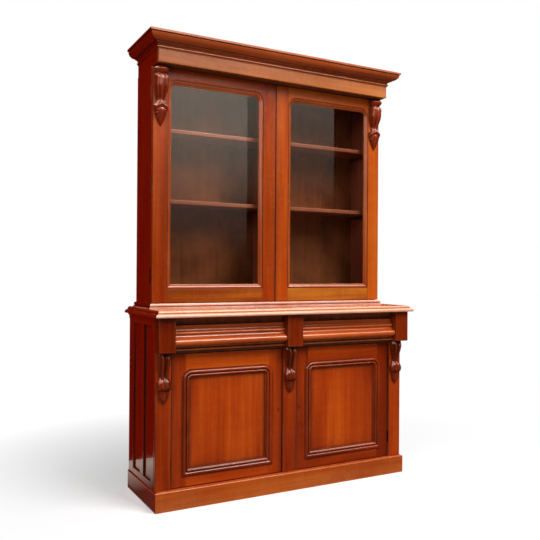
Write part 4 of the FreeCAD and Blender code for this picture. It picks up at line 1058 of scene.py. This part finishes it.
def glazing_steps():
    """A section with a rebate behind for the pane and a small rounded edge in front."""
    face, back, w, drop = tall_door.d1, tall_moulding.d0, glazing_width, glazing_drop
    lip, rebate, stop = face - 2.1 * drop, 6.3 * MM, pane.d1 + glass_play
    r = lip - stop - 0.5 * MM
    return [(rebate, back), (rebate, stop), (0, stop), (0, lip - r),
            ((r * 0.3, lip - r * 0.3), (r, lip)), (r + 1 * MM, lip),
            ((w * 0.45, face - drop * 1.1), (w * 0.77, face - drop * 0.5)),
            (w * 0.77, face - drop), (w, face - drop), (w, back)]


def glazed_door_mouldings():
    """Six lengths of moulding and four beads on each door."""
    bead, x0, x1, z0, z1 = 8 * MM, pane.x0, pane.x1, pane.z0, pane.z1
    beads = ((x0, x0 + bead, z0, z1, 2), (x1 - bead, x1, z0, z1, 2),
             (x0 + bead, x1 - bead, z0, z0 + bead, 0), (x0 + bead, x1 - bead, z1 - bead, z1, 0))
    for word, side in SIDES:
        body, piece = "upper_%s_door" % word, Piece(word + "_glazing_moulding")
        inside_a_door(piece, glazing_steps(), shrunk(tall_sight, glazing_width), glazing_radius, side,
                      glazing_width - 3 * MM, 0.55)
        for a, b, low, high, along in beads:
            board(piece, a, b, tall_moulding.d0, pane.d0 - glass_play, low, high, along,
                  edge=thin_arris, side=side)
        piece.place(glazing_wood, body + "_moulding", body=body)


glazed_door_mouldings()

# %% Panes
def rippled_pane(word, side):
    """A slab whose faces move together by a sum of slow sines, and that tapers to its flat rim."""
    phase, ripple_height, rim, setback = 1.3 * side, 0.05 * MM, 20 * MM, 0.1 * MM
    x, z = np.meshgrid(np.linspace(pane.x0, pane.x1, 41), np.linspace(pane.z0, pane.z1, 81))
    ripple = (np.sin(9 * x + 5 * z + phase) + 0.6 * np.sin(4 * x - 13 * z + 2 * phase)
              + 0.3 * np.sin(31 * x + 3 * z)) * ripple_height
    ripple *= np.clip(inside_by((pane.x0, pane.x1, pane.z0, pane.z1), x, z) / rim, 0, 1)
    front, rear = (np.stack([x, depth + ripple, z], -1)
                   for depth in (pane.d1 - setback, pane.d0 + setback))
    piece, body = Piece(word + "_pane"), "upper_%s_door" % word
    piece.loft(np.concatenate([front, rear[:, ::-1]], axis=1), 2, side=side)
    piece.place(glass, body + "_glass", body=body, slot="pane_glass")


for word, side in SIDES:
    rippled_pane(word, side)

# %% [markdown]
# ## The upper case
#
# Two sides, a rail under the doors, a partition, twelve narrow back planks with V joints and four
# shelves. The case is plain inside, so boards are enough: each plank gets its own grain and shade.

# %% Case boards
def upper_case():
    """Sides, base rail and partition; the sides' front edges stand a hair behind the hinges."""
    sides, linings = Piece("upper_case_sides"), Piece("upper_case_linings")
    outer, rest = case_side.x1, (0, case_side.d1 - hair, case_side.z0, case_side.z1, 2)
    middle = outer - carcass_board / 2
    for _, side in SIDES:
        board(sides, middle, outer, *rest, side=side)
        board(linings, outer - carcass_board, middle, *rest, side=side)
    sides.place(side_wood_painted_shade, "upper_sides")
    linings.place(shelf_wood, "upper_sides", slot="inner_wood")
    for name, node, along, material, slot in (
            ("upper_base_rail_board", "upper_base_rail", 0, front_wood, "mahogany"),
            ("upper_partition_board", "upper_partition", 2, shelf_wood, "inner_wood")):
        piece = Piece(name)
        board(piece, *Room(node).spans(), along)
        piece.place(material, node, slot=slot)


def back_planks():
    """Planks with chamfered edges: upright prisms on an eight-cornered plan."""
    room, piece = Room("upper_back_planks"), Piece("v_jointed_back")
    count, joint, c, thick = 12, 0.3 * MM, 1.2 * MM, room.d1
    pitch = (room.x1 - room.x0) / count
    path = [((0, 0, z), OUTWARDS, FORWARD) for z in (room.z0, room.z1)]
    for k in range(count):
        x0 = room.x0 + k * pitch + joint / 2
        x1 = x0 + pitch - joint
        plan = [(x0 + c, 0), (x1 - c, 0), (x1, c), (x1, thick - c), (x1 - c, thick),
                (x0 + c, thick), (x0, thick - c), (x0, c)]
        sweep(piece, outline(plan), path, 2, 0.1 * math.sin(2.4 * k))
    piece.place(plank_wood, "upper_back_planks", slot="inner_wood")


def shelf_boards():
    """Two shelves in each upper bay and one in each cupboard, with rounded front edges."""
    from_middle, thick = 10.3 * MM, 20 * MM
    for name, node, per_bay in (("upper_shelf_boards", "upper_shelves", 2),
                                ("cupboard_shelf_boards", "lower_shelves", 1)):
        room, piece = Room(node), Piece(name)
        for _, side in SIDES:
            for k in range(per_bay):
                z0 = room.z0 + k * (room.z1 - room.z0 - thick)
                board(piece, from_middle, room.x1, room.d0, room.d1, z0, z0 + thick, 0, edge=3 * MM,
                      side=side)
        piece.place(shelf_wood, node, slot="inner_wood")


upper_case()
back_planks()
shelf_boards()

# %% [markdown]
# ## Waist, frieze and cornice
#
# A small moulding hides the joint over the worktop. Above the doors the frieze steps forward, and
# the cornice grows out of it: a bead, a cove, a broad quarter hollow and a square fillet.

# %% Waist moulding
def waist():
    """Two steps and a rounded top, run round the foot of the upper case."""
    z0, z1, out_to, bead, quirk = base_rail.z0, base_rail.z1, 16 * MM, 13 * MM, 9 * MM
    foot, bead_low, bead_top = (z0 + share * (z1 - z0) for share in (0.25, 0.45, 0.58))
    steps = [(0, z0), (out_to, z0), (out_to, foot), (quirk, foot + 1 * MM), (quirk, bead_low),
             (bead, bead_low), (bead, bead_top), (bead - (z1 - bead_top), z1, near_centre), (0, z1)]
    case_moulding(("waist_front_length", "waist_side_lengths"), (top_wood_painted_sheen, side_wood_painted_shade),
                  "waist_moulding", steps, case_side.x1, tall_door.d1)


waist()

# %% Frieze and cornice
def frieze_box():
    """Front, two sides and back of the frieze."""
    half, depth, heights, thick = frieze.x1, frieze.d1, (frieze.z0, frieze.z1), 22 * MM
    front, ends = Piece("frieze_front_board"), Piece("frieze_side_boards")
    # The front's tone grows lighter towards the right: painted light, on the lamp's side.
    board(front, -half, half, depth - thick, depth, *heights, 0, edge=2 * MM,
          stops=(0.2, 0.4, 0.6, 0.8), tone=lambda x, d, z: 0.22 * x / half - 0.16)
    for _, side in SIDES:
        board(ends, half - thick, half, 0, depth - thick, *heights, 1, side=side)
    board(ends, thick - half, half - thick, 0, thick, *heights, 0)
    front.place(frieze_wood_painted_sheen, "frieze_boards")
    ends.place(side_wood_painted_shade, "frieze_boards")


def cornice_lengths():
    """The cornice's section from the frieze outwards, mitred at both corners."""
    low, top, quirk, root, bead_r = cornice.z0, cornice.z1, 2 * MM, 3 * MM, 5 * MM
    bead_z, cove_low, cove_high, shelf_high = (low + up * MM for up in (10, 16, 29, 33))
    start, end, out_to, back = 18 * MM, 54 * MM, 60 * MM, 52 * MM
    round_high, fillet_low = top - 14 * MM, top - 10 * MM
    steps = [(0, low), (quirk, low), (root, bead_z - bead_r),
             ((root + bead_r, bead_z), (root, bead_z + bead_r)), (root, cove_low),
             (root + cove_high - cove_low, cove_high, near_centre), (start, cove_high),
             (start, shelf_high), (end, round_high, far_centre), (back, round_high + 1 * MM),
             (back, fillet_low - 1 * MM), (out_to, fillet_low), (out_to, top), (0, top)]
    case_moulding(("cornice_front_length", "cornice_side_lengths"), (cornice_wood, side_wood_painted_shade),
                  "cornice_moulding", steps, frieze.x1, frieze.d1)


frieze_box()
cornice_lengths()

# %% [markdown]
# ## Carved corbels
#
# The corbels are the only carving. Below a scroll two folds run down in an S and end in curled
# tips, and a pointed leaf hangs from them. One surface gives all of it: its outline and its
# profile are smooth curves down the corbel, its cross-section is a rounded box, and the folds,
# the tips and the leaf's veins are added as relief on the front.

# %% A curve through given places
def through(pairs, s):
    """A natural cubic through (place, value) pairs: its second derivatives solve a linear system."""
    x, y = np.array(pairs, float).T
    h, inner = np.diff(x), np.arange(1, len(x) - 1)
    matrix, right = np.eye(len(x)), np.zeros(len(x))
    for beside, values in ((-1, h[:-1]), (0, 2 * (h[:-1] + h[1:])), (1, h[1:])):
        matrix[inner, inner + beside] = values
    right[1:-1] = 6 * np.diff(np.diff(y) / h)
    bend = np.linalg.solve(matrix, right)
    k = np.clip(np.searchsorted(x, s) - 1, 0, len(h) - 1)
    a, b, h = x[k + 1] - s, s - x[k], h[k]
    cubic = (bend[k] * a ** 3 + bend[k + 1] * b ** 3) / (6 * h)
    return cubic + (y[k] / h - bend[k] * h / 6) * a + (y[k + 1] / h - bend[k + 1] * h / 6) * b


print("curve check", round(float(through([(0, 0), (0.5, 1), (1, 0)], np.array([0.5]))[0]), 3))

# %% Rolls, lobes and leaves
def roll(t, middle, half):
    """A half-round: sqrt(1 - ((t - middle) / half)^2), and 0 outside."""
    return np.sqrt(np.clip(1 - ((t - middle) / half) ** 2, 0, 1))


def hanging_leaf(s, t, start, veins):
    """A spine with veins that rise outwards from it, in millimetres; it fades in below start."""
    slope = np.cos(2 * np.pi * (s * veins - np.abs(t) * 1.1))
    return ramp(s, start, start + 0.05) * (2.4 * bump_at(t, 0, 0.15)
                                           + 0.6 * slope * (1 - bump_at(t, 0, 0.22)))


def acanthus_relief(s, t):
    """Upper corbels: a scroll, a ridge between two side folds, curled tips and a leaf. Millimetres."""
    cap = 4.0 * roll(s, 0.058, 0.058) * (1 - 0.5 * t * t) - 5.0 * bump_at(s, 0.128, 0.012)
    body = ramp(s, 0.135, 0.17) * (1 - ramp(s, 0.58, 0.63))
    lean = 0.06 * np.sin((s - 0.15) * 9)
    sides = bump_at(t, -0.68, 0.18) + bump_at(t, 0.76, 0.16)
    folds = 8.0 * bump_at(t, 0.08 + lean, 0.34) + 4.5 * sides
    flare = 3.0 * bump_at(s, 0.19, 0.03) * bump_at(np.abs(t), 0.75, 0.2)
    curl = 6.5 * bump_at(s, 0.622 + 0.075 * np.abs(t), 0.026) * (1 - 0.7 * bump_at(t, 0, 0.1))
    shadow = -1.6 * bump_at(s, 0.690 + 0.05 * np.abs(t), 0.014)
    return cap + body * (folds - 4.0) + flare + curl + shadow + hanging_leaf(s, t, 0.71, 15)


def stem_relief(s, t):
    """Lower corbels: two stems whose ends curl over a round bud, and a small leaf. Millimetres."""
    pair = bump_at(t, -0.46, 0.26) + bump_at(t, 0.46, 0.26)
    stems = (1 - ramp(s, 0.47, 0.55)) * (13.0 * pair - 6.5)
    bud = ramp(s, 0.47, 0.62) * (1 - ramp(s, 0.67, 0.74)) * 5.0 * roll(t, 0, 1.0)
    groove = 2.5 * bump_at(t, 0, 0.2) * ramp(s, 0.50, 0.56) * (1 - ramp(s, 0.60, 0.70))
    curl = 4.5 * pair * bump_at(s, 0.560, 0.035)
    return stems + bud - groove + curl - 2.5 * bump_at(s, 0.745, 0.02) + hanging_leaf(s, t, 0.77, 14)


print("a middle fold stands", round(float(acanthus_relief(0.4, 0.1)), 1), "mm proud")

# %% The surface of one corbel
def corbel_surface(piece, centre, face, room, half_width, projection, widths, depths, relief,
                   leaf_start, side=1):
    """Rings down the corbel: s runs 0 to 1 down it, and t from 1 to -1 across it.

    A ring is a rounded box: t = sign(cos) |cos|^0.62 and depth = projection * sin^0.5, with the
    relief added towards the front. Below leaf_start the edge is saw-toothed. Widths and depths
    are curves through (s, share of the half width or of the projection).
    """
    s, turn = np.linspace(0, 1, 201)[:, None], np.linspace(0, math.pi, 81)[None, :]
    c, sine = np.cos(turn), np.sin(turn)
    t = np.sign(c) * np.abs(c) ** 0.62
    saw = np.abs((s * 15.0) % 1 - 0.5) * 2
    toothed = 1 - 0.10 * ramp(s, leaf_start, leaf_start + 0.08) * (1 - saw)
    width = half_width * np.minimum(through(widths, s), 1.0) * toothed
    deep = projection * through(depths, s)
    eased = ramp(deep, 0.0, 0.4 * projection) * ramp(s, 0.0, 0.02)
    out = deep * sine ** 0.5 + relief(s, t) * MM * sine ** 0.9 * eased
    out = np.maximum(out, 0.2 * MM * sine)
    heights = room.z1 - (room.z1 - room.z0) * s + 0 * out
    # Wear on the ridges, and dirt with painted shade in the creases, from the surface's bend.
    bend = sum(np.gradient(np.gradient(out, axis=k), axis=k) for k in (0, 1)) / (0.25 * MM)
    piece.loft(np.stack([centre + width * t, face + out, heights], -1), 2,
               np.clip(-bend, 0, 0.7), np.clip(0.5 * bend, 0, 0.6), None, side)


def lower_corbels():
    """One on each of the cupboard's three pilasters."""
    widths = [(0, 0.94), (0.05, 0.97), (0.15, 0.86), (0.3, 0.72), (0.42, 0.62), (0.5, 0.66),
              (0.57, 0.90), (0.65, 1), (0.71, 0.94), (0.76, 0.74), (0.84, 0.70), (0.92, 0.50),
              (1, 0.08)]
    depths = [(0, 0.62), (0.05, 0.80), (0.11, 0.96), (0.18, 0.93), (0.3, 0.66), (0.45, 0.42),
              (0.53, 0.50), (0.62, 0.66), (0.70, 0.60), (0.76, 0.42), (0.86, 0.36), (0.94, 0.26),
              (1, 0.1)]
    room, piece = Room("lower_corbels"), Piece("lower_carved_corbels")
    outer = uprights.x1 - pilaster_width / 2
    for x in (-outer, 0, outer):
        corbel_surface(piece, x, uprights.d1, room, 37 * MM, 36 * MM, widths, depths, stem_relief,
                       0.74)
    piece.place(carved_wood, "lower_corbels")


def door_corbels():
    """One at the head of each glazed door's hinge stile."""
    widths = [(0, 0.72), (0.03, 0.93), (0.06, 1), (0.09, 0.93), (0.125, 0.76), (0.155, 0.97),
              (0.22, 1), (0.32, 0.99), (0.44, 0.84), (0.56, 0.62), (0.61, 0.70), (0.66, 0.98),
              (0.72, 0.99), (0.82, 0.78), (0.92, 0.42), (1, 0.06)]
    depths = [(0, 0.78), (0.03, 0.93), (0.06, 1), (0.125, 0.80), (0.16, 0.88), (0.26, 0.97),
              (0.35, 0.90), (0.46, 0.64), (0.57, 0.42), (0.67, 0.56), (0.75, 0.52), (0.85, 0.36),
              (0.94, 0.2), (1, 0.08)]
    room, centre = Room("upper_right_corbel"), case_side.x1 - tall_stile / 2
    for word, side in SIDES:
        piece = Piece(word + "_door_carved_corbel")
        corbel_surface(piece, centre, tall_door.d1, room, 36.5 * MM, 45 * MM, widths, depths,
                       acanthus_relief, 0.71, side)
        piece.place(carved_wood, "upper_%s_corbel" % word, body="upper_%s_door" % word)


lower_corbels()
door_corbels()

# %% [markdown]
# ## Keyholes
#
# The doors' stiles are drawn without holes for the keys, so each brass keyhole gets a small dark
# plug inside it, painted shade where the hole would be: a round hole over a slot.

# %% Keyhole plugs
def keyhole_plug(name, node, room, side):
    """A keyhole's outline at its lock's height, a little proud of the stile inside the brass rim."""
    r, slot, tail, from_edge, proud = 2.7 * MM, 1.2 * MM, 9.5 * MM, 21 * MM, 0.15 * MM
    meet, height = math.sqrt(r * r - slot * slot), Room(node).middle_height()
    steps = [(slot, -tail), (slot, -meet), ((r * 0.98, r * 0.2), (0, r)),
             ((-r * 0.98, r * 0.2), (-slot, -meet)), (-slot, -tail)]
    path = [((room.x0 + from_edge, room.d1 + offset, height), OUTWARDS, Z_UP)
            for offset in (-1 * MM, proud)]
    piece = Piece(name)
    sweep(piece, outline(steps, guard=0.5 * MM), path, 2, None, side)
    piece.place(keyhole, body=node.replace("_lock", "_door"), slot="brass")


keyhole_plug("upper_keyhole", "upper_right_lock", tall_door, 1)
keyhole_plug("lower_left_keyhole", "lower_left_lock", low_door, -1)
keyhole_plug("lower_right_keyhole", "lower_right_lock", low_door, 1)

# %% [markdown]
# ## Pieces of the frame that show as they are
#
# The hinges, locks and bolts, and the plain boards inside, already have the right shape. They
# only get a material in their own slots: brass, or wood whose grain runs along the board.

# %% Materials for frame pieces
def dress(nodes, material):
    """Give frame pieces a material without touching their meshes."""
    for name in nodes:
        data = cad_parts[name].data
        data.materials.clear()
        data.materials.append(material)


hinges = [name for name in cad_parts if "hinge" in name]
fittings = [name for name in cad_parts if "_lock" in name or "_bolt" in name]
dress(fittings, brass)
dress(hinges, hinge_brass)
dress(["lower_bottom_board", "lower_back_board", "upper_bottom_board", "upper_top_board",
       "frieze_soffit_and_cover"], inner_wood[0])
dress(["lower_partition"], inner_wood[2])
dress(["drawer_dustboards", "drawer_guides", "shelf_cleats", "left_drawer_box", "right_drawer_box"],
      inner_wood[1])
print(len(hinges) + len(fittings), "brass fittings dressed")

# %% [markdown]
# ## The studio
#
# A pale floor catches the shadow and fades into white a few steps away. One broad lamp hangs
# above to the right, a weak one stands at the left, and the room's walls, seen only in polished
# and glazed surfaces, are dark at the foot and bright above.

# %% Floor
def stage_rings(name, rings, count, material, capped=False):
    """A surface of circles about z, each a (radius, height), marked as part of the studio."""
    radius, height = (column[:, None] for column in np.array(rings, float).T)
    angle = np.linspace(0, 2 * math.pi, count, endpoint=False)
    points = np.stack([radius * np.cos(angle), radius * np.sin(angle), height + 0 * angle], -1)
    index = np.arange(len(rings) * count).reshape(-1, count)
    after = np.roll(index, -1, axis=1)
    quads = np.stack([index[:-1], index[1:], after[1:], after[:-1]], -1).reshape(-1, 4)
    mesh = bpy.data.meshes.new(name)
    faces = quads.tolist() + ([index[0].tolist()] if capped else [])
    mesh.from_pydata(points.reshape(-1, 3).tolist(), [], faces)
    mesh.materials.append(material)
    thing = bpy.data.objects.new(name, mesh)
    bpy.context.scene.collection.objects.link(thing)
    print("%-34s %6d faces in the studio" % (name, len(mesh.polygons)))
    return thing


def studio_floor():
    """A disc of rings: pale and matt near the bookcase, white light further out."""
    material, g, shader = new_material("studio_floor")
    g.feed(shader, {"Base Color": (0.86, 0.86, 0.86), "Roughness": 0.9, "Specular IOR Level": 0.0})
    white = g.add("Emission", {"Color": (1, 1, 1), "Strength": 1.0})
    dull = g.add("BsdfDiffuse", {"Color": (0.42, 0.40, 0.38)})
    distance = g.add("VectorMath", {0: g.place()}, operation="LENGTH").outputs["Value"]
    seen, away = g.seen(), g.remap(distance, 0.8, 2.1, 0.35, 1.0)
    g.surface(g.blend(g.times(away, seen), g.blend(seen, dull, shader), white))
    radii = (0.0, 0.5, 1, 2, 4, 8, 16, 32)
    stage_rings("studio_floor", [(radius + 0.01, 0) for radius in radii], 64, material, capped=True)


studio_floor()

# %% Cards that only reflections see
def reflection_cards():
    """A round wall, a floor and a ceiling of light for gloss alone.

    In front the wall rises from dark at the foot to bright at the top, in two steps: the left third
    is brightest, then comes a dimmer stretch, and the right is dark. The sky lies above and
    overhead. Behind the bookcase everything is a dark red. The floor card is dark, but for a pale
    strip on the left that ends a step behind the back. A ray that was never mirrored, such as one
    straight through a pane, passes the cards.
    """
    reach, tall, foot, hole, wall_at = 5.0, 5.0, 4 * MM, 0.02, 0.72
    material, g, _ = new_material("reflection_cards")
    x, y, height = g.add("SeparateXYZ", {0: g.place()}).outputs
    forwards = g.times(y, -1.0)
    bearing, in_front = g.maths("ARCTAN2", x, forwards), g.remap(forwards, -0.5, 1.0)
    stretches = [g.times(g.maths("LESS_THAN", bearing, math.radians(degrees)),
                         g.remap(height, low, high, 0.0, 0.85))
                 for degrees, low, high in ((24.7, 1.3, 3.0), (37.6, 2.0, 3.4))]
    haze = g.times(g.maths("ADD", *stretches), in_front)
    sky = g.times(g.remap(height, 3.3, 3.8, 0.0, 1.1), in_front)
    high_sky = g.times(g.remap(height, 3.9, 4.6, 0.0, 8.0), in_front)
    wall = g.maths("ADD", g.maths("MAXIMUM", haze, sky), high_sky)
    overhead = g.remap(x, -1.0, 2.5, 10.0, 6.0)
    left = g.times(g.maths("LESS_THAN", x, -0.75), g.maths("LESS_THAN", y, wall_at))
    floor = g.maths("ADD", g.times(left, g.remap(y, 0.15, 0.62, 0.0, 0.75)), 0.035)
    on_floor = g.maths("LESS_THAN", height, 0.01)
    on_ceiling = g.maths("GREATER_THAN", height, tall - 0.01)
    level = g.times(wall, g.maths("SUBTRACT", 1.0, on_floor))
    for there, strength in ((on_floor, floor), (on_ceiling, overhead)):
        level = g.maths("MAXIMUM", level, g.times(there, strength))
    behind = g.times(g.maths("GREATER_THAN", y, wall_at), g.maths("SUBTRACT", 1.0, on_ceiling))
    warm = g.add("VectorMath", {0: (1.0, 0.88, 0.74), "Scale": level}, operation="SCALE").outputs[0]
    light = g.add("Emission", {"Color": g.mix(behind, warm, (0.18, 0.002, 0.001)), "Strength": 1.0})
    mirrored = g.maths("GREATER_THAN", g.add("LightPath").outputs["Glossy Depth"], 0.5)
    g.surface(g.blend(mirrored, g.add("BsdfTransparent", {"Color": (1, 1, 1)}), light))
    rings = ((hole, tall), (reach, tall), (reach, foot), (hole, foot))
    cards = stage_rings("reflection_cards", rings, 96, material)
    cards.visible_camera = cards.visible_diffuse = cards.visible_shadow = False


reflection_cards()

# %% Lamps and world
def lamp(name, place, size, power):
    """A square area lamp that looks from its place to a point a metre up in the bookcase."""
    light = bpy.data.lights.new(name, "AREA")
    light.energy, light.size = power, size
    thing = bpy.data.objects.new(name, light)
    thing.location = place
    thing.rotation_euler = (Vector((0, 0, 1)) - Vector(place)).to_track_quat("-Z", "Y").to_euler()
    bpy.context.scene.collection.objects.link(thing)


def studio_world():
    """White where it is seen or mirrored, and a plain grey light otherwise."""
    world = bpy.data.worlds.new("studio_world")
    bpy.context.scene.world = world
    world.use_nodes = True
    g = Graph(world.node_tree)
    g.feed(world.node_tree.nodes["Background"],
           {"Color": (1, 1, 1), "Strength": g.remap(g.seen(), 0.0, 1.0, 0.28, 1.0)})


lamp("key_lamp", (1.5, -3.3, 5.2), 3.0, 430)
lamp("fill_lamp", (-3.4, -2.6, 2.8), 2.0, 55)
studio_world()
print("lamps", [light.name for light in bpy.data.lights])

# %% [markdown]
# ## The camera
#
# The camera stands in front and to the left, a little over a metre up, and turns towards the
# bookcase with a small roll. Its axes are built from yaw, pitch and roll, so that nothing is left
# to chance.

# %% Camera
def camera(place, yaw, pitch, roll, lens):
    """Forward from yaw and pitch; right and up turned by roll about it."""
    level = math.cos(pitch)
    forward = Vector((-math.sin(yaw) * level, math.cos(yaw) * level, math.sin(pitch)))
    right = Vector((math.cos(yaw), math.sin(yaw), 0))
    up = right.cross(forward)
    turned_right = right * math.cos(roll) + up * math.sin(roll)
    turned_up = up * math.cos(roll) - right * math.sin(roll)
    data = bpy.data.cameras.new("camera")
    data.lens, data.sensor_width = lens, 36
    thing = bpy.data.objects.new("camera", data)
    matrix = Matrix((turned_right, turned_up, -forward)).transposed().to_4x4()
    matrix.translation = Vector(place)
    thing.matrix_world = matrix
    bpy.context.scene.collection.objects.link(thing)
    bpy.context.scene.camera = thing


camera((-1.75746, -3.1909, 1.13368), -0.4961, 0.0039, 0.0065, 44.5)
bpy.context.scene.view_settings.view_transform = "Standard"
print("camera lens", bpy.context.scene.camera.data.lens, "mm")
